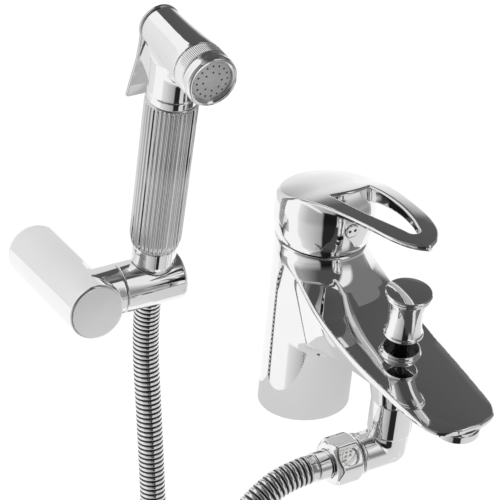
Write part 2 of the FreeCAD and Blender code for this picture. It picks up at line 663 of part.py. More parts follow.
def diverter_knob():
    waist_h = KNOB_FOOT_H + 9.5
    curve = spline_edge([vec(KNOB_FOOT_R - 0.9, 0, KNOB_FOOT_H + 2.6), vec(KNOB_WAIST_R, 0, waist_h),
                         vec(8.9, 0, waist_h + 7.0), vec(KNOB_TOP_R - 1.4, 0, KNOB_TOP_H - 4.2)])
    points = [vec(0, 0, KNOB_FOOT_H), vec(KNOB_FOOT_R - 0.6, 0, KNOB_FOOT_H),
              vec(KNOB_FOOT_R, 0, KNOB_FOOT_H + 0.8), vec(KNOB_FOOT_R - 0.2, 0, KNOB_FOOT_H + 2.0),
              vec(KNOB_FOOT_R - 0.9, 0, KNOB_FOOT_H + 2.6)]
    upper = [vec(KNOB_TOP_R - 1.4, 0, KNOB_TOP_H - 4.2), vec(KNOB_TOP_R - 0.5, 0, KNOB_TOP_H - 3.4),
             vec(KNOB_TOP_R - 0.5, 0, KNOB_TOP_H - 2.8), vec(KNOB_TOP_R, 0, KNOB_TOP_H - 2.0),
             vec(KNOB_TOP_R - 0.3, 0, KNOB_TOP_H - 0.8), vec(KNOB_TOP_R - 1.4, 0, KNOB_TOP_H - 0.3),
             vec(0, 0, KNOB_TOP_H)]
    edges = [Part.makeLine(a, b) for a, b in zip(points, points[1:])]
    edges.append(curve)
    edges += [Part.makeLine(a, b) for a, b in zip(upper, upper[1:])]
    edges.append(Part.makeLine(upper[-1], points[0]))
    knob = Part.Face(Part.Wire(edges)).revolve(ORIGIN, Z_AXIS, 360)
    knob = knob.cut(rod(STEM_ROD_R - 0.4, vec(0, 0, KNOB_FOOT_H - 1), vec(0, 0, KNOB_FOOT_H + 10)))
    knob.translate(upright(DIVERTER_REACH, 0))
    return lean(knob)


def diverter_stem():
    axis = upright(DIVERTER_REACH, 0)
    profile = [(0, VALVE_HEAD_H - 3), (VALVE_HEAD_R, VALVE_HEAD_H - 3), (VALVE_HEAD_R, VALVE_HEAD_H - 1.2),
               (VALVE_HEAD_R - 2.0, VALVE_HEAD_H - 1.2), (VALVE_HEAD_R - 2.0, VALVE_HEAD_H + 1.2),
               (VALVE_HEAD_R, VALVE_HEAD_H + 1.2), (VALVE_HEAD_R, VALVE_HEAD_H + 3),
               (STEM_ROD_R, VALVE_HEAD_H + 3), (STEM_ROD_R, KNOB_FOOT_H),
               (STEM_ROD_R - 0.4, KNOB_FOOT_H), (STEM_ROD_R - 0.4, KNOB_FOOT_H + 9.8), (0, KNOB_FOOT_H + 9.8)]
    return lean(turned(profile, axis, Z_AXIS))


def diverter_seal():
    axis = upright(DIVERTER_REACH, 0)
    profile = [(VALVE_HEAD_R - 1.98, VALVE_HEAD_H - 1.18), (DIVERTER_BORE_R - 0.12, VALVE_HEAD_H - 1.18),
               (DIVERTER_BORE_R - 0.12, VALVE_HEAD_H + 1.18), (VALVE_HEAD_R - 1.98, VALVE_HEAD_H + 1.18)]
    return lean(turned(profile, axis, Z_AXIS))


def diverter_bush():
    """Threaded bush in the collar's mouth that guides the stem."""
    axis = upright(DIVERTER_REACH, 0)
    top = COLLAR_TOP_H - COLLAR_MOUTH_DEPTH + BUSH_T
    profile = [(STEM_ROD_R + 0.06, top - BUSH_T), (COLLAR_MOUTH_R - 0.05, top - BUSH_T),
               (COLLAR_MOUTH_R - 0.05, top), (STEM_ROD_R + 1.4, top), (STEM_ROD_R + 1.4, top - 1.8),
               (STEM_ROD_R + 0.06, top - 1.8)]
    return lean(turned(profile, axis, Z_AXIS))


def stem_o_ring():
    top = COLLAR_TOP_H - COLLAR_MOUTH_DEPTH + BUSH_T
    return lean(ring_seal(STEM_ROD_R + 0.72, 1.28, upright(DIVERTER_REACH, top - 1.1)))


def outlet_point(height, x=0.0):
    return lean_point(upright(DIVERTER_REACH, height, x))


def outlet_elbow():
    """Elbow screwed into the boss: a leg down, a round corner and a leg to the left with a thread."""
    top = OUTLET_BOSS_FOOT_H - 0.3
    corner = outlet_point(ELBOW_H)
    leg = turned([(0, ELBOW_H), (OUTLET_NECK_R, ELBOW_H), (OUTLET_NECK_R, OUTLET_STEP_H - 1.2),
                  (OUTLET_R, OUTLET_STEP_H), (OUTLET_R, top), (OUTLET_SPIGOT_R - 0.05, top),
                  (OUTLET_SPIGOT_R - 0.05, OUTLET_BOSS_FOOT_H + OUTLET_SPIGOT_L - 1.35),
                  (0, OUTLET_BOSS_FOOT_H + OUTLET_SPIGOT_L - 1.35)],
                 upright(DIVERTER_REACH, 0), Z_AXIS)
    leg = lean(leg)
    knuckle = Part.makeSphere(OUTLET_NECK_R, corner)
    arm_profile = [(0, 0), (ELBOW_LEG_R, 0), (ELBOW_LEG_R, -ELBOW_LEG_END - ELBOW_BEAD_T - 0.8),
                   (ELBOW_BEAD_R, -ELBOW_LEG_END - ELBOW_BEAD_T), (ELBOW_BEAD_R, -ELBOW_LEG_END),
                   (ELBOW_THREAD_R, -ELBOW_LEG_END), (ELBOW_THREAD_R, -ELBOW_LEG_END + ELBOW_THREAD_L),
                   (0, -ELBOW_LEG_END + ELBOW_THREAD_L)]
    arm = turned(arm_profile, corner, vec(-1, 0, 0))
    whole = leg.fuse([knuckle, arm])
    down = rod(OUTLET_BORE_R, corner, outlet_point(OUTLET_BOSS_FOOT_H + OUTLET_SPIGOT_L + 1))
    across = rod(OUTLET_BORE_R, corner, corner + vec(ELBOW_LEG_END - ELBOW_THREAD_L - 1, 0, 0))
    valve_seat = rod(ELBOW_THREAD_R - 1.6, corner + vec(ELBOW_LEG_END - 4, 0, 0),
                     corner + vec(ELBOW_LEG_END - ELBOW_THREAD_L - 1, 0, 0))
    return whole.cut([down, across, Part.makeSphere(OUTLET_BORE_R, corner), valve_seat])


def elbow_o_ring():
    return lean(ring_seal(OUTLET_SPIGOT_R - 1.3, 1.2,
                          upright(DIVERTER_REACH, OUTLET_BOSS_FOOT_H + OUTLET_SPIGOT_L - 0.68)))


def check_valve():
    """Small plastic cage with its closing disc, let into the elbow's thread."""
    corner = outlet_point(ELBOW_H)
    start = corner + vec(ELBOW_LEG_END - 4.1, 0, 0)
    end = corner + vec(ELBOW_LEG_END - ELBOW_THREAD_L + 0.1, 0, 0)
    cage = tube(ELBOW_THREAD_R - 1.7, 4.6, start, end)
    spokes = Part.makeBox((start - end).Length, 1.0, 9.6, vec(end.x, corner.y - 0.5, corner.z - 4.8))
    return cage.fuse(spokes)


def nut_blank(start, direction, length, r_out, across, bore):
    """Round nut with six flats, bevelled ends and a bore."""
    end = start + direction * length
    blank = turned([(0, 0), (r_out - 2.2, 0), (r_out, 2.4), (r_out, length - 2.6), (r_out - 2.6, length),
                    (0, length)], start, direction)
    flats = []
    for k in range(6):
        angle = math.radians(60 * k + NUT_TURN_DEG)
        out = vec(0, math.cos(angle), math.sin(angle))
        side = out.cross(direction)
        base = start + out * (across / 2) - side * r_out - direction
        corners = [base, base + side * (2 * r_out), base + side * (2 * r_out) + out * 6, base + out * 6]
        face = Part.Face(Part.makePolygon(corners + [corners[0]]))
        flats.append(face.extrude(direction * (length + 2)))
    return blank.cut(flats + [rod(bore, start - direction, end + direction)])


def outlet_nut():
    """Swivel nut that draws the hose onto the elbow, with a round dimple in three of its flats."""
    corner = outlet_point(ELBOW_H)
    start = corner + vec(ELBOW_LEG_END - 0.3, 0, 0)
    direction = vec(-1, 0, 0)
    nut = nut_blank(start, direction, NUT_L, NUT_R, NUT_ACROSS, ELBOW_THREAD_R + 0.05)
    throat = tube(NUT_R + 3, FERRULE_R + 0.1, start + direction * (NUT_L - 2.2), start + direction * NUT_L)
    lip = throat.common(rod(NUT_R - 2.4, start, start + direction * (NUT_L + 1)))
    dimples = []
    for k in (0, 2, 4):
        angle = math.radians(60 * k + NUT_TURN_DEG)
        out = vec(0, math.cos(angle), math.sin(angle))
        middle = start + direction * (NUT_L / 2)
        dimples.append(rod(DIMPLE_R, middle + out * (NUT_ACROSS / 2 - DIMPLE_DEPTH), middle + out * NUT_ACROSS))
    return nut.fuse(lip).cut(dimples)


def outlet_washer():
    corner = outlet_point(ELBOW_H)
    start = corner + vec(ELBOW_LEG_END - ELBOW_THREAD_L - 0.05, 0, 0)
    return tube(ELBOW_THREAD_R - 0.1, 4.0, start, start + vec(-WASHER_T, 0, 0))


def outlet_ferrule():
    """Crimped sleeve on the hose end, with the flange that the nut draws up."""
    corner = outlet_point(ELBOW_H)
    flange = corner.x + ELBOW_LEG_END - ELBOW_THREAD_L - WASHER_T - 0.1
    length = flange - OUTLET_HOSE_X
    profile = [(4.2, 0), (FERRULE_FLANGE_R, 0), (FERRULE_FLANGE_R, 2.2), (FERRULE_R, 2.2),
               (FERRULE_R, length - 0.5), (FERRULE_R - 0.4, length), (4.2, length)]
    return turned(profile, vec(flange, corner.y, corner.z), vec(-1, 0, 0))


def aerator_housing():
    low = SPOUT_SOLE_H - AERATOR_DROP
    profile = [(AERATOR_CORE_R + 0.05, low + 0.6), (AERATOR_R - 1.0, low), (AERATOR_R - 0.3, low + 0.2),
               (AERATOR_R, low + 0.9), (AERATOR_R, SPOUT_SOLE_H - 0.4), (AERATOR_THREAD_R - 0.05, SPOUT_SOLE_H - 0.4),
               (AERATOR_THREAD_R - 0.05, AERATOR_TOP_H - 1.5), (AERATOR_CORE_R + 0.05, AERATOR_TOP_H - 1.5)]
    return lean(turned(profile, upright(AERATOR_REACH, 0), Z_AXIS))


def aerator_insert():
    """Plastic core with a grid of small square holes at its mouth."""
    low = SPOUT_SOLE_H - AERATOR_DROP + 0.8
    core = rod(AERATOR_CORE_R, upright(AERATOR_REACH, low), upright(AERATOR_REACH, AERATOR_TOP_H - 1.6))
    hollow = rod(AERATOR_CORE_R - 1.0, upright(AERATOR_REACH, low + 1.6), upright(AERATOR_REACH, AERATOR_TOP_H - 3.0))
    cuts = [hollow]
    for i in range(-2, 3):
        for j in range(-2, 3):
            if math.hypot(i, j) < 2.7:
                cuts.append(Part.makeBox(1.9, 1.9, 2.0,
                                         upright(AERATOR_REACH + 0.95 + j * 2.7, low - 0.1, i * 2.7 - 0.95)))
                cuts.append(Part.makeBox(1.0, 1.0, 2.4,
                                         upright(AERATOR_REACH + 0.5 + j * 2.7, AERATOR_TOP_H - 3.5, i * 2.7 - 0.5)))
    return lean(core.cut(cuts))


def aerator_washer():
    return lean(tube(AERATOR_THREAD_R - 0.1, 6.5, upright(AERATOR_REACH, AERATOR_TOP_H - 1.45),
                     upright(AERATOR_REACH, AERATOR_TOP_H - 0.05)))


# Wall post, its plate and its fixings

def wall_post():
    front = ARM_Y - ARM_R - POST_FRONT_GAP
    shell = turned([(0, 0), (POST_R - POST_EDGE, 0), (POST_R, POST_EDGE), (POST_R, POST_BACK_Y - front), (0, POST_BACK_Y - front)],
                   vec(POST_X, front, POST_H), Y_AXIS)
    stub = rod(ARM_R, vec(POST_X, ARM_Y, ARM_H), vec(HOLDER_SEAM_X, ARM_Y, ARM_H))
    hollow = rod(POST_R - POST_WALL, vec(POST_X, ARM_Y + ARM_R + 3.0, POST_H), vec(POST_X, POST_BACK_Y + 1, POST_H))
    plate_seat = rod(WALL_PLATE_R + 0.1, vec(POST_X, POST_BACK_Y - 2.0, POST_H), vec(POST_X, POST_BACK_Y + 1, POST_H))
    bolt = rod(PIVOT_BOLT_R, vec(HOLDER_SEAM_X - 14, ARM_Y, ARM_H), vec(HOLDER_SEAM_X + 1, ARM_Y, ARM_H))
    grub = rod(POST_GRUB_R, vec(POST_X, POST_BACK_Y - 7, POST_H - POST_R - 1), vec(POST_X, POST_BACK_Y - 7, POST_H - 5))
    return shell.fuse(stub).cut([hollow, plate_seat, bolt, grub])


def wall_plate():
    """Disc screwed to the wall, with a hub that the post slides over."""
    y = POST_BACK_Y - 2.0
    disc = rod(WALL_PLATE_R, vec(POST_X, y, POST_H), vec(POST_X, y + WALL_PLATE_T, POST_H))
    hub_r = POST_R - POST_WALL - 0.1
    hub = rod(hub_r, vec(POST_X, y - 10, POST_H), vec(POST_X, y, POST_H))
    cuts = [rod(1.6, vec(POST_X, POST_BACK_Y - 7, POST_H - hub_r - 1), vec(POST_X, POST_BACK_Y - 7, POST_H - hub_r + 2.5))]
    for side in (-1, 1):
        x = POST_X + side * WALL_SCREW_SPACING / 2
        cuts.append(rod(WALL_SCREW_R + 0.2, vec(x, y - 11, POST_H), vec(x, y + WALL_PLATE_T + 1, POST_H)))
        cuts.append(rod(WALL_SCREW_HEAD_R + 0.2, vec(x, y - 11, POST_H), vec(x, y - 4.0, POST_H)))
    return disc.fuse(hub).cut(cuts)


def post_grub():
    y = POST_BACK_Y - 7
    low = POST_H - POST_R + 0.4
    screw = rod(POST_GRUB_R - 0.03, vec(POST_X, y, low), vec(POST_X, y, POST_H - POST_R + POST_WALL - 0.05))
    tip = rod(1.5, vec(POST_X, y, low + 1), vec(POST_X, y, low + POST_GRUB_L - 1.0))
    socket = Part.makeBox(1.6, 1.6, 1.4, vec(POST_X - 0.8, y - 0.8, low - 0.1))
    return screw.fuse(tip).cut(socket)


def grip_point(t, side=0.0):
    """A point up the grip from the holder's middle; side moves it along +X."""
    angle = math.radians(GRIP_LEAN_DEG)
    return vec(GRIP_X + side, GRIP_Y - t * math.sin(angle), GRIP_Z + t * math.cos(angle))


def grip_direction():
    angle = math.radians(GRIP_LEAN_DEG)
    return vec(0, -math.sin(angle), math.cos(angle))


def holder():
    """Swivelling holder: a short bar along X with a tapered bore and a gap behind for the hose."""
    seam = HOLDER_SEAM_X + HOLDER_SEAM_GAP
    bar = turned([(0, 0), (ARM_R, 0), (ARM_R, HOLDER_END_X - seam - 2.2), (ARM_R - 0.7, HOLDER_END_X - seam - 0.7),
                  (ARM_R - 2.4, HOLDER_END_X - seam), (0, HOLDER_END_X - seam + HOLDER_DOME)],
                 vec(seam, ARM_Y, ARM_H), X_AXIS)
    seat = CONE_SEAT_R + HOLDER_FIT
    bore = cone(CONE_FOOT_R + HOLDER_FIT, seat, grip_point(-26), grip_point(CONE_SEAT_T))
    mouth = cone(seat, CONE_R + HOLDER_FIT, grip_point(CONE_SEAT_T), grip_point(CONE_SHOULDER_T))
    slot_wire = [grip_point(-24, -HOLDER_SLOT / 2), grip_point(-24, HOLDER_SLOT / 2),
                 grip_point(24, HOLDER_SLOT / 2), grip_point(24, -HOLDER_SLOT / 2)]
    back = grip_direction().cross(X_AXIS)
    if back.y < 0:
        back = back * -1
    slot = Part.Face(Part.makePolygon(slot_wire + [slot_wire[0]])).extrude(back * 30)
    bolt = rod(PIVOT_BOLT_R - 0.9, vec(seam - 1, ARM_Y, ARM_H), vec(seam + 7.0, ARM_Y, ARM_H))
    above = rod(CONE_R + HOLDER_FIT, grip_point(CONE_SHOULDER_T - 0.01), grip_point(CONE_SHOULDER_T + 8))
    return bar.cut([bore, mouth, above, slot, bolt])


def pivot_bolt():
    """Bolt along the arm: its head is held in the stub and its shank screws into the holder."""
    seam = HOLDER_SEAM_X
    head = rod(PIVOT_BOLT_R - 0.05, vec(seam - 13, ARM_Y, ARM_H), vec(seam, ARM_Y, ARM_H))
    shank = rod(PIVOT_BOLT_R - 0.95, vec(seam, ARM_Y, ARM_H), vec(seam + HOLDER_SEAM_GAP + 6.5, ARM_Y, ARM_H))
    return head.fuse(shank)


def handset_cone():
    """Lower collar of the handset: the taper that sits in the holder, and the hose's seat inside it."""
    axis = grip_direction()
    profile = [(HOSE_BORE_R - 0.5, 0), (CONE_FOOT_R, 0), (CONE_SEAT_R, CONE_SEAT_T), (CONE_R - 0.3, CONE_SHOULDER_T - 0.6),
               (CONE_R, CONE_SHOULDER_T), (CONE_R, CONE_TOP_T - 0.6),
               (CONE_R - 0.6, CONE_TOP_T), (TUBE_R + 0.05, CONE_TOP_T), (TUBE_R + 0.05, 14.0), (HOSE_BORE_R - 0.5, 14.0)]
    return turned(profile, grip_point(0), axis)


def grip_sleeve():
    """Fluted sleeve over the water tube, bevelled at both ends."""
    axis = grip_direction()
    length = GRIP_TOP_T - GRIP_FOOT_T
    profile = [(TUBE_R + 0.05, 0), (GRIP_END_R, 0), (GRIP_R, GRIP_BEVEL), (GRIP_R, length - GRIP_BEVEL + 1.5),
               (GRIP_END_R + 0.6, length), (TUBE_R + 0.05, length)]
    sleeve = turned(profile, grip_point(GRIP_FOOT_T), axis)
    start = grip_point(GRIP_FOOT_T - 1)
    flutes = []
    for k in range(GRIP_FLUTES):
        angle = 2 * math.pi * k / GRIP_FLUTES
        side = vec(1, 0, 0) * math.cos(angle) + axis.cross(X_AXIS) * math.sin(angle)
        flutes.append(rod(FLUTE_R, start + side * (GRIP_R + 0.25), start + axis * (length + 2) + side * (GRIP_R + 0.25)))
    return sleeve.cut(flutes)


def water_tube():
    return tube(TUBE_R, TUBE_BORE_R, grip_point(14.2), grip_point(GRIP_TOP_T + 2))


def head_axis():
    angle = math.radians(HEAD_DIP_DEG)
    return vec(0, math.cos(angle), math.sin(angle))


def head_point(back, up=0.0, side=0.0):
    """A point of the head: back from the spray face, up square to its axis."""
    axis = head_axis()
    face = vec(GRIP_X, HEAD_FACE_Y, HEAD_FACE_Z)
    return face + axis * back + X_AXIS.cross(axis) * up + X_AXIS * side


def handset_body():
    """Head and neck in one casting, with the water way and the trigger valve's bore."""
    axis = head_axis()
    front = BEZEL_L + KNURL_L
    head = turned([(0, 0), (KNURL_R, 0), (HEAD_FRONT_R - 0.1, 0.8), (HEAD_BACK_R, HEAD_LENGTH - front - 1.0),
                   (HEAD_BACK_R - 1.0, HEAD_LENGTH - front), (0, HEAD_LENGTH - front)],
                  head_point(front), axis)
    middle = head_middle()
    neck = rod(NECK_R, grip_point(GRIP_TOP_T + NECK_RING_T), grip_point(middle))
    body = head.fuse(neck)
    seams = []
    for edge in body.Edges:
        box = edge.BoundBox
        near_neck = abs(box.Center.x - GRIP_X) < 1.0 and box.XLength > NECK_R
        if near_neck and len(edge.Curve.__class__.__name__) > 0 and edge.Curve.TypeId == "Part::GeomBSplineCurve":
            seams.append(edge)
    if seams:
        body = body.makeFillet(HEAD_BLEND_R, seams)
    ring = rod(NECK_RING_R, grip_point(GRIP_TOP_T + 0.2), grip_point(GRIP_TOP_T + NECK_RING_T))
    web = Part.Face(Part.makePolygon([vec(GRIP_X - WEB_HALF, y, z) for y, z in WEB_LINE + WEB_LINE[:1]]))
    body = body.fuse([ring, web.extrude(vec(2 * WEB_HALF, 0, 0))])
    water = rod(TUBE_BORE_R, grip_point(GRIP_TOP_T - 1), grip_point(middle))
    socket = rod(TUBE_R + 0.05, grip_point(GRIP_TOP_T - 1), grip_point(GRIP_TOP_T + 2.2))
    chamber = rod(VALVE_BORE_R, head_point(VALVE_SEAT_BACK), head_point(HEAD_LENGTH - 6))
    guide = rod(PISTON_R + 0.06, head_point(HEAD_LENGTH - 7), head_point(HEAD_LENGTH + 1))
    outlet = rod(9.5, head_point(front - 1), head_point(front + 6))
    seat = rod(VALVE_SEAT_R, head_point(front + 5), head_point(VALVE_SEAT_BACK + 1))
    pin = rod(TRIGGER_PIN_R + 0.02, trigger_pivot() + vec(-WEB_HALF + 0.8, 0, 0),
              trigger_pivot() + vec(WEB_HALF + 2, 0, 0))
    return body.cut([water, socket, chamber, guide, outlet, seat, pin, trigger_slot()])


def head_middle():
    """How far up the grip its axis meets the head's axis."""
    grip = math.radians(GRIP_LEAN_DEG)
    dip = math.radians(HEAD_DIP_DEG)
    dy = HEAD_FACE_Y - GRIP_Y
    dz = HEAD_FACE_Z - GRIP_Z
    down = math.cos(grip + 0.0) * math.cos(dip) + math.sin(grip) * math.sin(dip)
    return (dz * math.cos(dip) - dy * math.sin(dip)) / down


def spray_bezel():
    """Screwed ring round the spray plate, knurled behind its polished lip."""
    axis = head_axis()
    profile = [(PLATE_R + 0.1, 1.2), (BEZEL_LIP_R, 0.2), (BEZEL_LIP_R + 0.9, -0.6), (BEZEL_R - 0.9, -0.3),
               (BEZEL_R, 0.8), (BEZEL_R, 3.0), (BEZEL_R - 0.7, 4.0), (BEZEL_R - 0.7, BEZEL_L),
               (KNURL_R, BEZEL_L), (KNURL_R, BEZEL_L + KNURL_L - 0.2), (PLATE_R + 0.1, BEZEL_L + KNURL_L - 0.2)]
    return turned(profile, head_point(0), axis)


def spray_plate():
    """Face plate with its two rings of jets."""
    plate = turned([(0, 0.5), (5.0, 0.7), (PLATE_R, 1.3), (PLATE_R, 1.3 + PLATE_T), (0, 0.5 + PLATE_T)],
                   head_point(0), head_axis())
    jets = []
    for count, radius in PLATE_RINGS:
        for k in range(int(count)):
            angle = 2 * math.pi * (k + 0.5) / count
            jets.append(rod(PLATE_HOLE_R, head_point(-1, radius * math.sin(angle), radius * math.cos(angle)),
                            head_point(4, radius * math.sin(angle), radius * math.cos(angle))))
    return plate.cut(jets)


def spray_gasket():
    start = 1.35 + PLATE_T
    return tube(PLATE_R, 8.7, head_point(start), head_point(start + GASKET_T))


def spray_cup():
    """Plastic cup that spreads the water behind the plate."""
    start = 1.4 + PLATE_T + GASKET_T
    end = BEZEL_L + KNURL_L + 3.0
    cup = tube(9.4, 8.0, head_point(start), head_point(end))
    floor = tube(9.4, 2.2, head_point(end - 1.6), head_point(end))
    return cup.fuse(floor)


def trigger_pivot():
    return vec(GRIP_X, TRIGGER_PIVOT_Y, TRIGGER_PIVOT_Z)


def trigger_outline():
    """Side view of the trigger: its inner face from the top of the pad down, then its back face up."""
    top = head_point(HEAD_LENGTH + TRIGGER_GAP, TRIGGER_DISC_R + 1)
    inner = [top] + [vec(GRIP_X, y, z) for y, z in TRIGGER_LINE]
    outer = []
    for k, point in enumerate(inner):
        before = inner[max(k - 1, 0)]
        after = inner[min(k + 1, len(inner) - 1)]
        along = after - before
        along.normalize()
        outer.append(point + X_AXIS.cross(along) * TRIGGER_T)
    return inner + outer[::-1]


def trigger():
    """Thumb plate: a round pad that hides the head's end, and a blade that flares back."""
    outline = trigger_outline()
    side = Part.Face(Part.makePolygon(outline + [outline[0]]))
    side.translate(vec(-TRIGGER_DISC_R - 1, 0, 0))
    plate = side.extrude(vec(2 * TRIGGER_DISC_R + 2, 0, 0))
    pad = rod(TRIGGER_DISC_R, head_point(HEAD_LENGTH - 10), head_point(HEAD_LENGTH + 20))
    pad_foot_z = TRIGGER_LINE[0][1] + 0.5
    narrow_z = TRIGGER_LINE[2][1]
    foot_z = TRIGGER_LINE[-1][1] - 5
    half = math.sqrt(TRIGGER_DISC_R ** 2 - 4.0 ** 2)
    plan = [(-half, pad_foot_z), (-TRIGGER_HALF, narrow_z), (-TRIGGER_HALF, foot_z),
            (TRIGGER_HALF, foot_z), (TRIGGER_HALF, narrow_z), (half, pad_foot_z)]
    blade = Part.Face(Part.makePolygon([vec(GRIP_X + x, 0, z) for x, z in plan + plan[:1]]))
    upper = plate.common(pad)
    upper = upper.common(Part.makeBox(60, 120, 60, vec(GRIP_X - 30, -20, pad_foot_z - 0.5)))
    lower = plate.common(blade.extrude(vec(0, 90, 0)))
    pivot = trigger_pivot()
    ear = rod(TRIGGER_EAR_R, pivot + vec(-TRIGGER_EAR_HALF, 0, 0), pivot + vec(TRIGGER_EAR_HALF, 0, 0))
    arm = Part.makeBox(2 * TRIGGER_EAR_HALF, 5.0, 2 * TRIGGER_EAR_R - 0.4)
    arm.translate(vec(-TRIGGER_EAR_HALF, 0, -TRIGGER_EAR_R + 0.2))
    arm.translate(pivot)
    arm = arm.cut(plate_back_space())
    pin = rod(TRIGGER_PIN_R + TRIGGER_FIT, pivot + vec(-20, 0, 0), pivot + vec(20, 0, 0))
    rod_hole = rod(PISTON_R + 0.4, head_point(HEAD_LENGTH - 1), head_point(HEAD_LENGTH + 6))
    return upper.fuse([lower, ear, arm]).cut([pin, rod_hole])


def plate_back_space():
    """Everything behind the trigger's plate."""
    outline = trigger_outline()
    back = outline[len(outline) // 2:]
    corners = back + [back[-1] + vec(0, 60, 0), back[0] + vec(0, 60, 0)]
    space = Part.Face(Part.makePolygon(corners + [corners[0]]))
    space.translate(vec(-30, 0, 0))
    return space.extrude(vec(60, 0, 0))


def trigger_slot():
    """Slot in the web for the trigger's ear, open at the back."""
    half = TRIGGER_EAR_HALF + TRIGGER_SLOT_GAP
    radius = TRIGGER_EAR_R + 0.35
    pivot = trigger_pivot()
    eye = rod(radius, pivot + vec(-half, 0, 0), pivot + vec(half, 0, 0))
    way = Part.makeBox(2 * half, 12.0, 2 * radius, pivot + vec(-half, 0, -radius))
    return eye.fuse(way)


def trigger_pin():
    """Pin pressed into the web, on which the trigger's ear turns."""
    pivot = trigger_pivot()
    return rod(TRIGGER_PIN_R, pivot + vec(-WEB_HALF + 1.0, 0, 0), pivot + vec(WEB_HALF - 0.2, 0, 0))


def valve_piston():
    """Rod that the trigger pulls: the head that seals the chamber, a spring collar and a riveted end."""
    rivet = HEAD_LENGTH + TRIGGER_GAP + TRIGGER_T + RIVET_GAP
    head = rod(PISTON_HEAD_R, head_point(PISTON_HEAD_BACK), head_point(PISTON_HEAD_BACK + 1.6))
    stem = rod(PISTON_STEM_R, head_point(PISTON_HEAD_BACK + 1.0), head_point(HEAD_LENGTH - 9))
    collar = rod(PISTON_R + 1.3, head_point(PISTON_COLLAR_BACK), head_point(PISTON_COLLAR_BACK + 1.2))
    tail = rod(PISTON_R, head_point(HEAD_LENGTH - 9.2), head_point(rivet + 0.1))
    cap = turned([(0, 0), (RIVET_R, 0), (RIVET_R - 0.4, 0.7), (RIVET_R - 1.4, 1.1), (0, 1.2)],
                 head_point(rivet), head_axis())
    return head.fuse([stem, collar, tail, cap])


def valve_seal():
    """Ring between the piston's head and its seat."""
    wire = PISTON_HEAD_BACK - VALVE_SEAT_BACK - 0.06
    return ring_seal(PISTON_HEAD_R - wire / 2 + 0.1, wire, head_point(VALVE_SEAT_BACK + 0.03 + wire / 2), head_axis())


def valve_spring():
    """Compression spring round the piston's stem, from its collar to the chamber's end."""
    height = SPRING_TURNS * SPRING_PITCH
    helix = Part.makeHelix(SPRING_PITCH, height, SPRING_R)
    circle = Part.Wire([Part.makeCircle(SPRING_WIRE_R, vec(SPRING_R, 0, 0), Y_AXIS)])
    coil = Part.Wire(helix).makePipeShell([circle], True, True)
    axis = head_axis()
    turn = FreeCAD.Rotation(Z_AXIS, axis)
    coil.Placement = FreeCAD.Placement(head_point(PISTON_COLLAR_BACK + 1.25 + SPRING_WIRE_R), turn)
    return coil


def handset_nut():
    """Cone nut inside the holder that joins the hose to the handset."""
    axis = grip_direction() * -1
    profile = [(FERRULE_R + 0.1, 0.3), (CONE_FOOT_R - 0.3, 0.3), (CONE_FOOT_R - 1.2, -HOSE_START_T - 0.6),
               (FERRULE_R + 0.1, -HOSE_START_T - 0.6)]
    return turned(profile, grip_point(0), axis)


def handset_ferrule():
    axis = grip_direction() * -1
    profile = [(4.2, 0.3), (FERRULE_R, 0.3), (FERRULE_R, -HOSE_START_T), (4.2, -HOSE_START_T)]
    return turned(profile, grip_point(0), axis)


# The hose

def hose_points():
    start = grip_point(HOSE_START_T)
    second = start - grip_direction() * HOSE_START_RUN
    corner = outlet_point(ELBOW_H)
    end = vec(OUTLET_HOSE_X, corner.y, corner.z)
    before = end + vec(-HOSE_OUTLET_RUN, 0, 0)
    return [start, second] + [vec(*p) for p in HOSE_MIDDLE_POINTS] + [before, end]


def hose_pieces():
    """Straight runs and tangent arcs of the route, each as (kind, data, length)."""
    points = hose_points()
    pieces = []
    radii = []
    cursor = points[0]
    for before, here, after in zip(points, points[1:], points[2:]):
        come = here - before
        go = after - here
        turn = come.getAngle(go)
        shorter = min(come.Length, go.Length)
        radius = 0.45 * shorter / math.tan(turn / 2)
        radii.append(radius)
        come.normalize()
        go.normalize()
        tangent = radius * math.tan(turn / 2)
        first = here - come * tangent
        last = here + go * tangent
        inward = go - come
        inward.normalize()
        centre = here + inward * (radius / math.cos(turn / 2))
        middle = centre + (here - centre).normalize() * radius
        pieces.append(("line", cursor, first))
        pieces.append(("arc", first, middle, last, centre, radius, turn))
        cursor = last
    pieces.append(("line", cursor, points[-1]))
    return pieces, radii


def piece_length(piece):
    if piece[0] == "line":
        return (piece[2] - piece[1]).Length
    return piece[5] * piece[6]


def route_point(pieces, distance):
    """The point and direction at a distance along the route."""
    for piece in pieces:
        length = piece_length(piece)
        if distance <= length or piece is pieces[-1]:
            if piece[0] == "line":
                direction = piece[2] - piece[1]
                direction.normalize()
                return piece[1] + direction * distance, direction
            first, centre, radius = piece[1], piece[4], piece[5]
            angle = distance / radius
            out = first - centre
            out.normalize()
            last_out = piece[3] - centre
            normal = out.cross(last_out)
            normal.normalize()
            along = normal.cross(out)
            point = centre + (out * math.cos(angle) + along * math.sin(angle)) * radius
            return point, along * math.cos(angle) - out * math.sin(angle)
        distance -= length


def hose_wire(pieces):
    edges = []
    for piece in pieces:
        if piece[0] == "line":
            edges.append(Part.LineSegment(piece[1], piece[2]).toShape())
        else:
            edges.append(Part.Arc(piece[1], piece[2], piece[3]).toShape())
    return Part.Wire(edges)


def hose_circle(pieces, distance, radius):
    """Circle square to the route, its start held towards X so that the skin doesn't twist."""
    point, direction = route_point(pieces, distance)
    steady = X_AXIS if abs(direction.x) < 0.75 else Y_AXIS
    circle = Part.Circle(point, direction, radius)
    side = steady - direction * steady.dot(direction)
    side.normalize()
    circle.XAxis = side
    return Part.Wire([circle.toShape()])


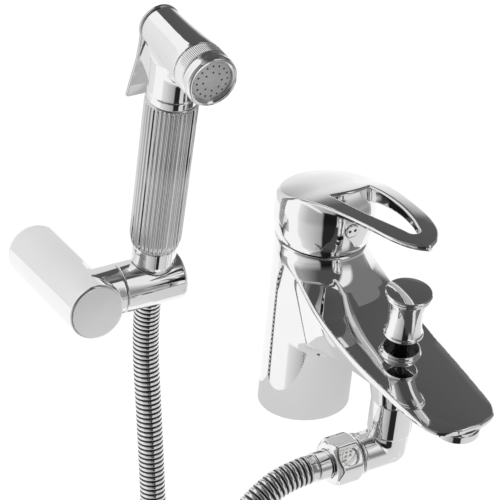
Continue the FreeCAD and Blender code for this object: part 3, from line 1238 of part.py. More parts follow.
def shower_hose():
    """Metal hose: plain ends one diameter long, and ribs of four circles each between them."""
    pieces, radii = hose_pieces()
    total = sum(piece_length(p) for p in pieces)
    print("hose length", round(total, 1), "least radius", round(min(radii), 1))
    print("hose radii", [round(r) for r in radii])
    plain = 2 * HOSE_R
    pitch = (total - 2 * plain) / HOSE_RIBS
    crest = HOSE_R
    valley = HOSE_R - HOSE_RIB_DEPTH
    rings = [(0.0, valley), (plain, valley)]
    for k in range(HOSE_RIBS):
        low = plain + k * pitch
        rings += [(low + 0.15 * pitch, valley), (low + 0.35 * pitch, crest),
                  (low + 0.75 * pitch, crest), (low + 0.95 * pitch, valley)]
    rings += [(total - plain, valley), (total, valley)]
    skin = Part.makeLoft([hose_circle(pieces, d, r) for d, r in rings], True, True)
    wire = hose_wire(pieces)
    first = pieces[0]
    start = Part.Wire([Part.Circle(first[1], first[2] - first[1], HOSE_BORE_R).toShape()])
    bore = wire.makePipeShell([start], True, True)
    hose = skin.cut(bore)
    print("hose volume", round(hose.Volume), "plain tube", round(math.pi * (HOSE_R ** 2 - HOSE_BORE_R ** 2) * total))
    return hose


def main():
    os.makedirs("parts", exist_ok=True)
    makers = {
        "tap_body": tap_body, "foot_block": foot_block, "base_seal": base_seal, "cartridge_housing": cartridge_housing,
        "fixed_disc": fixed_disc, "moving_disc": moving_disc,
        "stem_carrier": stem_carrier, "stem_pin": stem_pin, "lever_stem": lever_stem,
        "gland_nut": gland_nut, "cover_ring": cover_ring, "lever_handle": lever_handle,
        "grub_screw": grub_screw, "index_plug": index_plug, "diverter_knob": diverter_knob,
        "diverter_stem": diverter_stem, "diverter_seal": diverter_seal, "diverter_bush": diverter_bush,
        "stem_o_ring": stem_o_ring, "outlet_elbow": outlet_elbow, "elbow_o_ring": elbow_o_ring,
        "check_valve": check_valve, "outlet_nut": outlet_nut, "outlet_washer": outlet_washer,
        "outlet_ferrule": outlet_ferrule, "aerator_housing": aerator_housing,
        "aerator_insert": aerator_insert, "aerator_washer": aerator_washer,
        "wall_post": wall_post, "wall_plate": wall_plate,
        "post_grub": post_grub, "holder": holder, "pivot_bolt": pivot_bolt,
        "handset_cone": handset_cone, "grip_sleeve": grip_sleeve, "water_tube": water_tube,
        "handset_body": handset_body, "spray_bezel": spray_bezel, "spray_plate": spray_plate,
        "spray_gasket": spray_gasket, "spray_cup": spray_cup, "trigger": trigger,
        "trigger_pin": trigger_pin, "valve_piston": valve_piston, "valve_seal": valve_seal,
        "valve_spring": valve_spring, "handset_nut": handset_nut, "handset_ferrule": handset_ferrule,
        "shower_hose": shower_hose,
    }
    for name, make in makers.items():
        made = make()
        solids = []
        for shape in (made if isinstance(made, list) else [made]):
            solids += shape.Solids
        valid = all(s.isValid() for s in solids)
        print(name, len(solids), "solids", round(sum(s.Volume for s in solids)), "mm3", "" if valid else "INVALID")
        whole = solids[0] if len(solids) == 1 else Part.makeCompound(solids)
        whole.exportStep(os.path.join("parts", name + ".step"))


main()
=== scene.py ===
import json
import math

import bpy
import numpy as np
from mathutils import Matrix, Vector


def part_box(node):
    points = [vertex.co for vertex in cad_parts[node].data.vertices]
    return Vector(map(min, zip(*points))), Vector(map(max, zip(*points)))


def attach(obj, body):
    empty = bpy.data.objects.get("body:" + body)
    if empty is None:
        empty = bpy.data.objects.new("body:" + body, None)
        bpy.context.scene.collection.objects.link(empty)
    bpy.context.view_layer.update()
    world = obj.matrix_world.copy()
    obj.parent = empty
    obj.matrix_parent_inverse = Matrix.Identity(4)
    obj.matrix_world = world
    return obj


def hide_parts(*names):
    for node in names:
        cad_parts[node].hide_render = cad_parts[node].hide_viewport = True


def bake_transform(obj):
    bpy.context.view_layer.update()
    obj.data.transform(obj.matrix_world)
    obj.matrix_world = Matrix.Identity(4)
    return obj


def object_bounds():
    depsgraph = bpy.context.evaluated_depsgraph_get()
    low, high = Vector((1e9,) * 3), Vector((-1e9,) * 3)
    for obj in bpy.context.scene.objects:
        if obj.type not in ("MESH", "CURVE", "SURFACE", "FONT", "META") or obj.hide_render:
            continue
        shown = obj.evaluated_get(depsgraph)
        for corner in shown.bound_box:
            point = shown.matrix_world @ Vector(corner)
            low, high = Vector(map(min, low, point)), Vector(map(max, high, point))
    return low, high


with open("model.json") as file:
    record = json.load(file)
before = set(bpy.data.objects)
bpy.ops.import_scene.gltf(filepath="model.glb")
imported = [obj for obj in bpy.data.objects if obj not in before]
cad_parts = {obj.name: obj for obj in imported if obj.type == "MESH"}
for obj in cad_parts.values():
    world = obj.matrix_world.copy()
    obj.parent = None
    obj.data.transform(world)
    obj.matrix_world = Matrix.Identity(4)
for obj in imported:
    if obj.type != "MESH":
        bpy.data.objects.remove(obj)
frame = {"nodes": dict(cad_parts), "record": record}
CAD_BOX = [list(map(float, corner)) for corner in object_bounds()]
scene = bpy.context.scene

# Camera: stands at the front left of the tap, looking down on it.
# Its place and turn are given in the frame of the tap's foot.
CAMERA_AT = (-0.4557, -0.7485, 0.5447)
CAMERA_RIGHT = (0.8704, -0.4924, 0.0)
CAMERA_UP = (0.2281, 0.4032, 0.8862)
CAMERA_LENS = 140.4
CAMERA_SENSOR = 36.0
camera_data = bpy.data.cameras.new("camera")
camera_data.lens = CAMERA_LENS
camera_data.sensor_width = CAMERA_SENSOR
camera_data.clip_end = 20.0
camera = bpy.data.objects.new("camera", camera_data)
scene.collection.objects.link(camera)
right = Vector(CAMERA_RIGHT).normalized()
up = Vector(CAMERA_UP).normalized()
toward = right.cross(up).normalized()
turn = Matrix((right, up, toward)).transposed().to_4x4()
camera.matrix_world = Matrix.Translation(CAMERA_AT) @ turn
scene.camera = camera

# Metal shower hose: chromed strip wound into round ribs over a rubber core.
# It leaves the handset's ferrule, hangs in a loop and comes up to the nut under the spout.
MM = 0.001
HOSE_R = 7.0
HOSE_VALLEY_R = 6.1
HOSE_PITCH = 2.8
HOSE_PLAIN = 3.0
HOSE_PLAIN_R = 6.7
HOSE_SIDES = 28
HOSE_STEP = 0.35
RIB_RISE = 0.20
RIB_FALL = 0.22
RIB_SHARE = 0.86
RIB_FULLNESS = 0.8
GAP_DEPTH = 0.35
# Heights, in metres, where the hose changes from its upper to its middle and lower stretch
HOSE_SPLIT_Z = -0.060
HOSE_REST_Z = -0.300
GRIP_LEAN = math.radians(14.5)
GRIP_AT = np.array([-65.3, 46.5, 64.2])
GRIP_ALONG = np.array([0.0, -math.sin(GRIP_LEAN), math.cos(GRIP_LEAN)])
OUTLET_AT = np.array([0.0, -79.45, 15.09])
HOSE_START = GRIP_AT - 6.0 * GRIP_ALONG
HOSE_ROUTE = [
    tuple(HOSE_START), tuple(HOSE_START - 28.0 * GRIP_ALONG),
    (-65.0, 52.4, -22.0), (-65.4, 49.4, -82.0), (-66.6, 46.6, -146.0), (-67.4, 47.0, -212.0),
    (-68.4, 48.4, -280.0), (-70.4, 47.0, -348.0), (-75.8, 20.0, -394.0), (-87.0, -25.5, -412.0),
    (-98.2, -71.0, -394.0), (-104.4, -98.0, -346.0), (-107.4, -101.6, -276.0), (-108.6, -101.0, -206.0),
    (-108.2, -99.4, -138.0), (-106.6, -96.0, -80.0), (-103.4, -91.6, -39.4), (-97.8, -87.4, -15.8),
    (-85.5, -83.4, 1.4), (-68.4, -80.6, 11.72), (-52.7, -79.45, 15.09), (-42.2, -79.45, 15.09),
]


class Flow:
    """A socket of a material's nodes that takes part in plain sums."""

    def __init__(self, look, socket):
        self.look = look
        self.socket = socket

    def math(self, operation, other):
        return self.look.node("ShaderNodeMath", {"operation": operation}, {0: self, 1: other})

    def __add__(self, other):
        return self.math("ADD", other)

    def __radd__(self, other):
        return self.math("ADD", other)

    def __mul__(self, other):
        return self.math("MULTIPLY", other)

    def __rmul__(self, other):
        return self.math("MULTIPLY", other)

    def __lt__(self, other):
        return self.math("LESS_THAN", other)


class Look:
    """One material: its main shader, and a single way to add any other node."""

    def __init__(self, name, slot=None, **constants):
        self.slot = slot
        self.material = bpy.data.materials.new(name)
        self.material.use_nodes = True
        self.tree = self.material.node_tree
        self.shader = self.tree.nodes["Principled BSDF"]
        for key, value in constants.items():
            self.put(key.replace("_", " "), value)

    def put(self, key, value, node=None):
        socket = (node or self.shader).inputs[key]
        if isinstance(value, Flow):
            self.tree.links.new(value.socket, socket)
        else:
            socket.default_value = value

    def node(self, kind, settings=None, values=None, out=0):
        made = self.tree.nodes.new(kind)
        for key, value in (settings or {}).items():
            setattr(made, key, value)
        for key, value in (values or {}).items():
            self.put(key, value, made)
        return Flow(self, made.outputs[out])

    def place(self):
        return self.node("ShaderNodeTexCoord", out=3)

    def noise(self, scale, detail=3.0):
        values = {"Vector": self.place(), "Scale": scale, "Detail": detail}
        return self.node("ShaderNodeTexNoise", None, values)

    def mix(self, share, first, second):
        values = {0: share, 6: first, 7: second}
        return self.node("ShaderNodeMix", {"data_type": "RGBA"}, values, out=2)

    def bump(self, height, strength, distance):
        values = {"Height": height, "Strength": strength, "Distance": distance}
        return self.node("ShaderNodeBump", None, values)


def chrome_look(name, slot, base, dull, rough, wave):
    """Chrome plate: a mirror with faint polishing marks, water haze and a slight waviness."""
    look = Look(name, slot, Metallic=1.0)
    haze = look.noise(38.0, 4.0)
    look.put("Base Color", look.mix(haze, (*[dull] * 3, 1.0), (*[base] * 3, 1.0)))
    fine = look.noise(900.0, 2.0)
    look.put("Roughness", rough + 0.03 * haze.math("POWER", 3.0) + 0.012 * fine)
    look.put("Normal", look.bump(look.noise(26.0, 1.0), wave, 0.0004))
    return look


def new_piece(name, points, faces, look, body, nodes=(), normals=None):
    """A smooth mesh piece in metres that rides on a body and stands for the named nodes."""
    mesh = bpy.data.meshes.new(name)
    mesh.from_pydata([tuple(p) for p in points], [], [tuple(f) for f in faces])
    mesh.materials.append(look.material)
    mesh.shade_smooth()
    if normals is not None:
        mesh.normals_split_custom_set_from_vertices([tuple(n) for n in normals])
    made = bpy.data.objects.new(name, mesh)
    scene.collection.objects.link(made)
    if body:
        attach(made, body)
    if nodes:
        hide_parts(*nodes)
    return made


def route_line(points):
    """Points, in metres, of the smooth line that a cord's route in millimetres gives."""
    curve = bpy.data.curves.new("hose_line", "CURVE")
    curve.dimensions = "3D"
    spline = curve.splines.new("NURBS")
    spline.points.add(len(points) - 1)
    for slot, point in zip(spline.points, points):
        slot.co = (*[c * MM for c in point], 1.0)
    spline.order_u = 3
    spline.use_endpoint_u = True
    spline.resolution_u = 24
    drawn = bpy.data.objects.new("hose_line", curve)
    scene.collection.objects.link(drawn)
    bpy.context.view_layer.update()
    mesh = bpy.data.meshes.new_from_object(drawn)
    line = np.array([v.co for v in mesh.vertices])
    bpy.data.objects.remove(drawn)
    bpy.data.curves.remove(curve)
    bpy.data.meshes.remove(mesh)
    return line


def even(line, step):
    """The line's points at even distances, and its length."""
    run = np.concatenate([[0.0], np.cumsum(np.linalg.norm(np.diff(line, axis=0), axis=1))])
    count = max(2, int(round(run[-1] / step)) + 1)
    at = np.linspace(0.0, run[-1], count)
    return np.column_stack([np.interp(at, run, line[:, k]) for k in range(3)]), run[-1]


def frames_along(line):
    """Two directions across the line at each point, carried along without twist."""
    along = np.gradient(line, axis=0)
    along /= np.linalg.norm(along, axis=1)[:, None]
    side = np.cross(along[0], (1.0, 0.0, 0.0))
    sides = []
    for direction in along:
        side = side - direction * side.dot(direction)
        side /= np.linalg.norm(side)
        sides.append(side)
    sides = np.array(sides)
    return sides, np.cross(along, sides)


def skin(line, radii, segments):
    """Points and faces of a tube with its own radius at each point of the line."""
    first, second = frames_along(line)
    angles = np.arange(segments) * 2.0 * math.pi / segments
    cosines, sines = np.cos(angles)[None, :, None], np.sin(angles)[None, :, None]
    across = first[:, None] * cosines + second[:, None] * sines
    points = (line[:, None] + across * np.asarray(radii)[:, None, None]).reshape(-1, 3)
    faces = []
    for ring in range(len(line) - 1):
        low = ring * segments
        for k in range(segments):
            nxt = (k + 1) % segments
            faces.append((low + k, low + nxt, low + segments + nxt, low + segments + k))
    return points, faces


def hose_stretch(line, phase):
    """Ribbed skin of one stretch, with its faces in a gap marked for painted shade; phase is how much hose
    lies before it.
    """
    fine, length = even(line, HOSE_STEP * MM)
    at = np.linspace(0.0, length, len(fine)) + phase
    place = np.mod(at / (HOSE_PITCH * MM), 1.0)
    rise = np.clip(np.minimum(place / RIB_RISE, (RIB_SHARE - place) / RIB_FALL), 0.0, 1.0)
    rise = np.where(place > RIB_SHARE, 0.0, np.sin(rise * math.pi / 2) ** RIB_FULLNESS)
    end = np.minimum(at, hose_length - at) < HOSE_PLAIN * MM
    radii = np.where(end, HOSE_PLAIN_R, HOSE_VALLEY_R + (HOSE_R - HOSE_VALLEY_R) * rise) * MM
    keep = np.abs(np.diff(np.concatenate([[0.0], radii]))) > 1e-9
    keep = keep | np.roll(keep, -1)
    keep[0] = True
    keep[-1] = True
    points, faces = skin(fine[keep], radii[keep], HOSE_SIDES)
    # Faces in a gap between ribs are marked to take the dark material: painted shade.
    low = radii[keep] < (HOSE_VALLEY_R + GAP_DEPTH) * MM
    gaps = np.repeat((low[:-1] | low[1:]), HOSE_SIDES)
    return points, faces, length, gaps


hose_look = chrome_look("hose_chrome_look", "hose_chrome", 0.86, 0.72, 0.07, 0.10)
# Dark chrome for the gap faces: painted shade between the ribs.
gap_shade_look = chrome_look("hose_gap_shade_look", "hose_chrome", 0.10, 0.05, 0.35, 0.10)
UPPER_BEND = ("holder", "handset", (-0.065, 0.052, -0.042), (-0.065, 0.0545, 0.026))
MIDDLE_BEND = ("mixer", "holder", (-0.068, 0.048, -0.29), (-0.068, 0.048, -0.08))
hose_line = route_line(HOSE_ROUTE)
hose_even, hose_length = even(hose_line, 1.0 * MM)
upper_end = int(np.argmax(hose_even[:, 2] < HOSE_SPLIT_Z))
middle_end = int(np.argmax(hose_even[:, 2] < HOSE_REST_Z))
last = len(hose_even) - 1
for part_name, first, end, bend in [
        ("hose_upper", 0, upper_end, UPPER_BEND),
        ("hose_middle", upper_end, middle_end, MIDDLE_BEND),
        ("hose_lower", middle_end, last, None)]:
    piece_line = hose_even[first:end + 1]
    points, faces, length, gaps = hose_stretch(piece_line, first / last * hose_length)
    piece = new_piece(part_name, points, faces, hose_look, None)
    piece.data.materials.append(gap_shade_look.material)
    piece.data.polygons.foreach_set("material_index", gaps.astype(int))
    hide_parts("shower_hose")
    if bend:
        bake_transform(piece)
    else:
        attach(piece, "mixer")

# Tap body: one brass casting, chrome plated, with its column, spout, collar and outlet boss.
# It leans forward, so its shape is worked out in the upright frame of the column.
LEAN = math.radians(8.6)
AXIS_UP = (0.0, -math.sin(LEAN), math.cos(LEAN))
AXIS_FRONT = (0.0, -math.cos(LEAN), -math.sin(LEAN))
FAR = 1e3
# How a shape is meshed: its steepest field, grid cells worked out at once, and how its points are
# pulled onto the surface, with the longest pull as a share of the step
STEEPEST = 1.7
CELLS_AT_ONCE = 4000
SLOPE_STEP = 0.02
LEAST_SLOPE = 0.05
PULLS = 4
LONGEST_PULL = 0.6


def upright(y, z):
    """Reach to the front and height up the column of points in the frame, in millimetres."""
    reach = -y * math.cos(LEAN) - z * math.sin(LEAN)
    height = -y * math.sin(LEAN) + z * math.cos(LEAN)
    return reach, height


def lean_point(reach, height, x=0.0):
    y = -reach * math.cos(LEAN) - height * math.sin(LEAN)
    z = height * math.cos(LEAN) - reach * math.sin(LEAN)
    return np.array([x, y, z])


def rounded_cut(a, b, radius):
    """What lies in both shapes, with the edge between them rounded."""
    outer = np.hypot(np.maximum(a + radius, 0.0), np.maximum(b + radius, 0.0))
    return np.minimum(np.maximum(a, b), -radius) + outer


def filleted(a, b, radius):
    """Both shapes together, with a hollow fillet where they meet."""
    inner = np.hypot(np.maximum(radius - a, 0.0), np.maximum(radius - b, 0.0))
    return np.maximum(np.minimum(a, b), radius) - inner


def table(rows, column):
    """A smooth function through one column of a table of stations."""
    xs = np.array([row[0] for row in rows], float)
    ys = np.array([row[column] for row in rows], float)
    gaps = np.diff(xs)
    slopes = np.diff(ys) / gaps
    product = slopes[:-1] * slopes[1:]
    total = slopes[:-1] + slopes[1:]
    inner = np.where(product > 0, 2.0 * product / np.where(total == 0, 1.0, total), 0.0)
    tangents = np.concatenate([[slopes[0]], inner, [slopes[-1]]])

    def at(x):
        x = np.clip(x, xs[0], xs[-1])
        k = np.clip(np.searchsorted(xs, x) - 1, 0, len(xs) - 2)
        t = (x - xs[k]) / gaps[k]
        h00 = (1 + 2 * t) * (1 - t) ** 2
        h10 = t * (1 - t) ** 2
        h01 = t * t * (3 - 2 * t)
        h11 = t * t * (t - 1)
        return h00 * ys[k] + h10 * gaps[k] * tangents[k] + h01 * ys[k + 1] + h11 * gaps[k] * tangents[k + 1]

    return at


def grown(name, field, box, step, look, body, nodes):
    """A piece meshed where its field is zero, in its node's box: a fine net drawn onto the surface."""
    low = np.array(box[0]) / MM - 2 * step
    high = np.array(box[1]) / MM + 2 * step
    coarse = 4
    cells = np.ceil((high - low) / step / coarse).astype(int)
    size = cells * coarse + 1
    axes = [low[k] + np.arange(size[k]) * step for k in range(3)]
    rough = field(*np.meshgrid(*[a[::coarse] for a in axes], indexing="ij"))
    reach = coarse * step * math.sqrt(3.0) * STEEPEST
    least = np.minimum.reduce([np.abs(rough[i:i + cells[0], j:j + cells[1], k:k + cells[2]])
                               for i in (0, 1) for j in (0, 1) for k in (0, 1)])
    offsets = np.arange(coarse + 1)
    starts = np.argwhere(least < reach) * coarse
    signs = np.where(rough < 0, -FAR, FAR)
    for axis in range(3):
        signs = np.repeat(signs, coarse, axis=axis)
    values = signs[:size[0], :size[1], :size[2]].copy()
    for chunk in np.array_split(starts, max(1, len(starts) // CELLS_AT_ONCE)):
        i = chunk[:, 0, None, None, None] + offsets[None, :, None, None]
        j = chunk[:, 1, None, None, None] + offsets[None, None, :, None]
        k = chunk[:, 2, None, None, None] + offsets[None, None, None, :]
        i, j, k = np.broadcast_arrays(i, j, k)
        values[i, j, k] = field(axes[0][i], axes[1][j], axes[2][k])
    inside = values < 0
    count = sum(inside[i:size[0] - 1 + i, j:size[1] - 1 + j, k:size[2] - 1 + k].astype(np.int8)
                for i in (0, 1) for j in (0, 1) for k in (0, 1))
    active = (count > 0) & (count < 8)
    index = np.full(active.shape, -1)
    index[active] = np.arange(active.sum())
    corners = np.argwhere(active)
    total = np.zeros((len(corners), 3))
    hits = np.zeros(len(corners))
    for axis in range(3):
        unit = np.eye(3, dtype=int)[axis]
        others = [k for k in range(3) if k != axis]
        for u in (0, 1):
            for v in (0, 1):
                shift = np.zeros(3, int)
                shift[others[0]] = u
                shift[others[1]] = v
                a = corners + shift
                b = a + unit
                va = values[a[:, 0], a[:, 1], a[:, 2]]
                vb = values[b[:, 0], b[:, 1], b[:, 2]]
                crossed = (va < 0) != (vb < 0)
                share = np.where(crossed, va / np.where(crossed, va - vb, 1.0), 0.0)
                total += np.where(crossed[:, None], a + share[:, None] * unit, 0.0)
                hits += crossed
    points = low + total / hits[:, None] * step

    def slope(p):
        parts = []
        for axis in range(3):
            move = np.eye(3)[axis] * SLOPE_STEP
            ahead, behind = (p + move).T, (p - move).T
            parts.append((field(*ahead) - field(*behind)) / (2 * SLOPE_STEP))
        return np.array(parts).T

    for _ in range(PULLS):
        gradient = slope(points)
        off = field(*points.T) / np.maximum((gradient ** 2).sum(1), LEAST_SLOPE)
        off = np.clip(off, -LONGEST_PULL * step, LONGEST_PULL * step)
        points = points - off[:, None] * gradient
    normals = slope(points)
    normals /= np.maximum(np.linalg.norm(normals, axis=1), 1e-9)[:, None]
    faces = []
    for axis in range(3):
        u, v = [(1, 2), (2, 0), (0, 1)][axis]
        first = inside.take(range(size[axis] - 1), axis)
        second = inside.take(range(1, size[axis]), axis)
        spots = np.argwhere(first != second)
        spots = spots[(spots[:, u] > 0) & (spots[:, v] > 0)
                      & (spots[:, u] < size[u] - 1) & (spots[:, v] < size[v] - 1)]
        du = np.eye(3, dtype=int)[u]
        dv = np.eye(3, dtype=int)[v]
        ring = [index[tuple((spots - du - dv).T)], index[tuple((spots - dv).T)],
                index[tuple(spots.T)], index[tuple((spots - du).T)]]
        quads = np.array(ring).T
        outward = inside[tuple(spots.T)]
        quads[~outward] = quads[~outward][:, ::-1]
        faces.append(quads)
    return new_piece(name, points * MM, np.vstack(faces), look, body, nodes, normals)


# Stations of the spout: reach, top height at the middle, half width, height of its edge,
# half width and height of the hull's lower corner, and height of the sole
SPOUT = [
    (-2.0, 104.0, 20.5, 99.0, 15.5, 50.0, 47.0),
    (3.0, 103.5, 21.5, 97.0, 16.0, 51.0, 48.5),
    (14.0, 102.0, 22.6, 94.0, 16.6, 52.5, 50.0),
    (24.0, 97.5, 23.2, 91.0, 17.0, 56.0, 53.0),
    (34.0, 91.4, 23.5, 88.2, 17.3, 60.0, 57.0),
    (46.0, 87.4, 23.6, 85.8, 17.5, 64.5, 61.0),
    (62.0, 85.7, 23.5, 84.1, 17.6, 69.3, 66.0),
    (78.0, 85.2, 23.0, 83.3, 17.8, 73.0, 70.0),
    (96.0, 85.2, 22.0, 83.3, 17.0, 77.0, 74.5),
    (112.0, 85.2, 20.8, 83.3, 15.0, 79.4, 77.6),
    (124.0, 85.1, 19.6, 83.3, 12.8, 79.8, 79.5),
    (131.0, 84.9, 16.6, 83.3, 11.2, 80.1, 79.5),
    (136.4, 84.4, 10.6, 83.3, 8.0, 80.4, 79.6),
]
spout_top = table(SPOUT, 1)
spout_half = table(SPOUT, 2)
spout_edge = table(SPOUT, 3)
spout_low = table(SPOUT, 4)
spout_low_h = table(SPOUT, 5)
spout_sole = table(SPOUT, 6)
SPOUT_TIP = 136.4
SPOUT_BACK = -2.0
SPOUT_ROOT_H = 84.0
LIP_H = 2.9
SOLE_CROWN = 0.0012
DIVERTER_REACH = 76.3
AERATOR_REACH = 125.8
COLUMN_R = 24.0
COLUMN_TAPER = 0.5
COLUMN_TOP = 105.6
BOSS_LOW_H = 57.5
BOSS_HIGH_H = 80.0
BOSS_R = 11.0
BOSS_FLARE = 0.22
COLLAR_R = 9.4
COLLAR_LOW_H = 76.0
COLLAR_TOP_H = 87.9
MOUTH_R = 8.5
MOUTH_FLOOR_H = 79.9
SEAT_R = 10.4
SEAT_LOW_H = 74.0
SEAT_HIGH_H = 82.0
WELL_R = 17.65
WELL_FLOOR_H = 62.0
FOOT_RECESS_R = 19.3
FOOT_RECESS_H = 3.2


def body_field(x, y, z):
    p, w = upright(y, z)
    side = np.abs(x)
    column_r = COLUMN_R - COLUMN_TAPER * np.clip(w, 0.0, COLUMN_TOP) / COLUMN_TOP
    column = rounded_cut(np.hypot(x, p) - column_r, w - COLUMN_TOP, 1.8)
    half = spout_half(p)
    edge_h = spout_edge(p)
    top = spout_top(p)
    crown = top - (top - edge_h) * np.minimum((x / half) ** 2, 1.4)
    slant = spout_half(p + 0.5) - spout_half(p - 0.5)
    wall = (side - half) / np.sqrt(1.0 + slant ** 2)
    plan = rounded_cut(wall, p - SPOUT_TIP, 5.0)
    deck = rounded_cut(w - crown, plan, 0.8)
    lip_h = edge_h - LIP_H
    run = half - spout_low(p)
    drop = lip_h - spout_low_h(p)
    size = np.hypot(run, drop)
    hull_side = ((side - half) * drop + (lip_h - w) * run) / size
    sole = spout_sole(p) + SOLE_CROWN * x ** 2 - w
    hull = rounded_cut(hull_side, sole, 4.0)
    tip_hull = (lip_h - 0.6 - w) * 0.35 + (p - SPOUT_TIP) * 0.93
    hull = rounded_cut(hull, tip_hull, 2.0)
    spout = rounded_cut(deck, hull, 0.5)
    spout = np.maximum(spout, SPOUT_BACK - p)
    middle_share = np.clip((21.0 - side) / 12.0, 0.0, 1.0)
    blend = 5.2 + 2.5 * middle_share * np.clip((w - SPOUT_ROOT_H) / 6.0, 0.0, 1.0)
    whole = filleted(column, spout, blend)
    ring = np.hypot(x, p - DIVERTER_REACH)
    boss = ring - (BOSS_R + BOSS_FLARE * np.clip(w - BOSS_LOW_H, 0.0, 20.0))
    boss = np.maximum(np.maximum(boss, BOSS_LOW_H - w), w - BOSS_HIGH_H)
    whole = filleted(whole, boss, 3.0)
    collar = rounded_cut(ring - COLLAR_R, w - COLLAR_TOP_H, 0.7)
    collar = np.maximum(collar, COLLAR_LOW_H - w)
    whole = filleted(whole, collar, 0.9)
    mouth = np.maximum(ring - MOUTH_R, MOUTH_FLOOR_H - w)
    whole = rounded_cut(whole, -mouth, 0.35)
    seat = np.maximum(np.hypot(x, p - AERATOR_REACH) - SEAT_R, SEAT_LOW_H - w)
    seat = np.maximum(seat, w - SEAT_HIGH_H)
    whole = np.maximum(whole, -seat)
    well = np.maximum(np.hypot(x, p) - WELL_R, WELL_FLOOR_H - w)
    whole = np.maximum(whole, -well)
    whole = np.maximum(whole, -z)
    foot = np.maximum(np.hypot(x, y) - FOOT_RECESS_R, z - FOOT_RECESS_H)
    return np.maximum(whole, -foot)


# Bright plate: its brightness, its brightness where hazed, its roughness and its waviness
BRIGHT = (0.90, 0.84, 0.022, 0.05)
chrome = chrome_look("chrome_look", "chrome", *BRIGHT)
satin = chrome_look("satin_chrome_look", "chrome", 0.70, 0.58, 0.05, 0.05)
grown("tap_body_cast", body_field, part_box("tap_body"), 0.65, chrome, "mixer", ["tap_body"])

# Lever: die-cast cap with an open loop in front, chrome plated, sitting over the cartridge.
# Its barrel bulges a little, its top is crowned and runs down into the loop's thin tip.
LEVER_TOP = [(-27.0, 125.0), (-23.8, 126.3), (-12.7, 130.9), (5.5, 137.4), (21.8, 143.4), (34.4, 146.8),
             (54.0, 150.8), (66.0, 152.6), (78.0, 153.4), (92.0, 153.2)]
LEVER_LOOP = [(6.0, 23.2, 12.0), (16.0, 22.4, 10.5), (28.0, 20.8, 8.4), (40.0, 19.0, 7.0), (52.0, 17.2, 6.0),
              (62.0, 15.5, 5.3), (70.0, 13.8, 4.8), (76.0, 11.7, 4.4), (80.5, 9.0, 4.1), (84.0, 5.8, 3.8),
              (86.4, 2.4, 3.6)]
LEVER_BARREL = [(106.4, 23.4), (111.2, 24.7), (117.5, 25.3), (124.5, 24.9), (132.0, 23.6), (140.0, 22.4),
                (150.0, 22.0)]
LEVER_OPENING = [(15.8, 10.5), (30.0, 10.3), (44.1, 9.3), (60.0, 6.5), (72.4, 3.0)]
LEVER_TIP = 87.0
LEVER_LOW_H = 106.4
LEVER_CROWN_R = 95.0
TIP_START = 83.4
TIP_R = 6.6
OPENING_TIP = 72.4
OPENING_TIP_R = 3.0
OPENING_BACK = 12.0
PLUG_H = 121.8
PLUG_HOLE_R = 3.55
CUP_R = 21.9
CUP_TOP_H = 134.0
CUP_ROOF = 3.6
CUP_FLARE = 0.5
CUP_FLARE_H = 2.0
lever_top = table(LEVER_TOP, 1)
loop_half = table(LEVER_LOOP, 1)
loop_depth = table(LEVER_LOOP, 2)
barrel_r = table(LEVER_BARREL, 1)
opening_half = table(LEVER_OPENING, 1)


def lever_field(x, y, z):
    p, w = upright(y, z)
    side = np.abs(x)
    ring = np.hypot(x, p)
    middle = lever_top(p)
    slope = lever_top(p + 0.5) - lever_top(p - 0.5)
    sag = LEVER_CROWN_R - np.sqrt(LEVER_CROWN_R ** 2 - np.minimum(side, 60.0) ** 2)
    top = (w - middle + sag) / np.sqrt(1.0 + slope ** 2)
    barrel = ring - barrel_r(w)
    barrel = rounded_cut(barrel, LEVER_LOW_H - w, 0.5)
    narrow = loop_half(p + 0.5) - loop_half(p - 0.5)
    plan = (side - loop_half(p)) / np.sqrt(1.0 + narrow ** 2)
    tip = np.hypot(x, np.maximum(p - TIP_START, 0.0)) - TIP_R
    plan = np.where(p > TIP_START, np.maximum(np.minimum(plan, 50.0), tip), plan)
    plan = rounded_cut(plan, p - LEVER_TIP, 2.0)
    sole = middle - loop_depth(p) - w
    bevel = (side - loop_half(p) + 0.9 * (middle - 1.6 - w)) * 0.74
    loop = rounded_cut(plan, sole, 0.8)
    loop = rounded_cut(loop, bevel, 0.6)
    loop = np.maximum(loop, 4.0 - p)
    closing = opening_half(p + 0.5) - opening_half(p - 0.5)
    gap = np.where(p < OPENING_TIP, (side - opening_half(p)) / np.sqrt(1.0 + closing ** 2),
                   np.hypot(x, p - OPENING_TIP) - OPENING_TIP_R)
    gap = np.maximum(gap, OPENING_BACK - p)
    loop = rounded_cut(loop, -gap, 0.9)
    loop_top = rounded_cut(top, -gap, 0.9)
    outside = filleted(barrel, loop, 0.8)
    whole = rounded_cut(outside, top, 1.5)
    whole = np.where(barrel > 0.6, np.maximum(whole, np.maximum(loop_top, -gap)), whole)
    plug = np.maximum(np.hypot(x, w - PLUG_H) - PLUG_HOLE_R, 15.0 - p)
    whole = rounded_cut(whole, -plug, 0.25)
    flare = CUP_FLARE * np.clip(LEVER_LOW_H + CUP_FLARE_H - w, 0.0, CUP_FLARE_H)
    cup = np.maximum(ring - CUP_R - flare, w - (middle - CUP_ROOF))
    cup = np.maximum(cup, w - CUP_TOP_H)
    return np.maximum(whole, -cup)


grown("lever_cast", lever_field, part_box("lever_handle"), 0.6, chrome, "lever", ["lever_handle"])


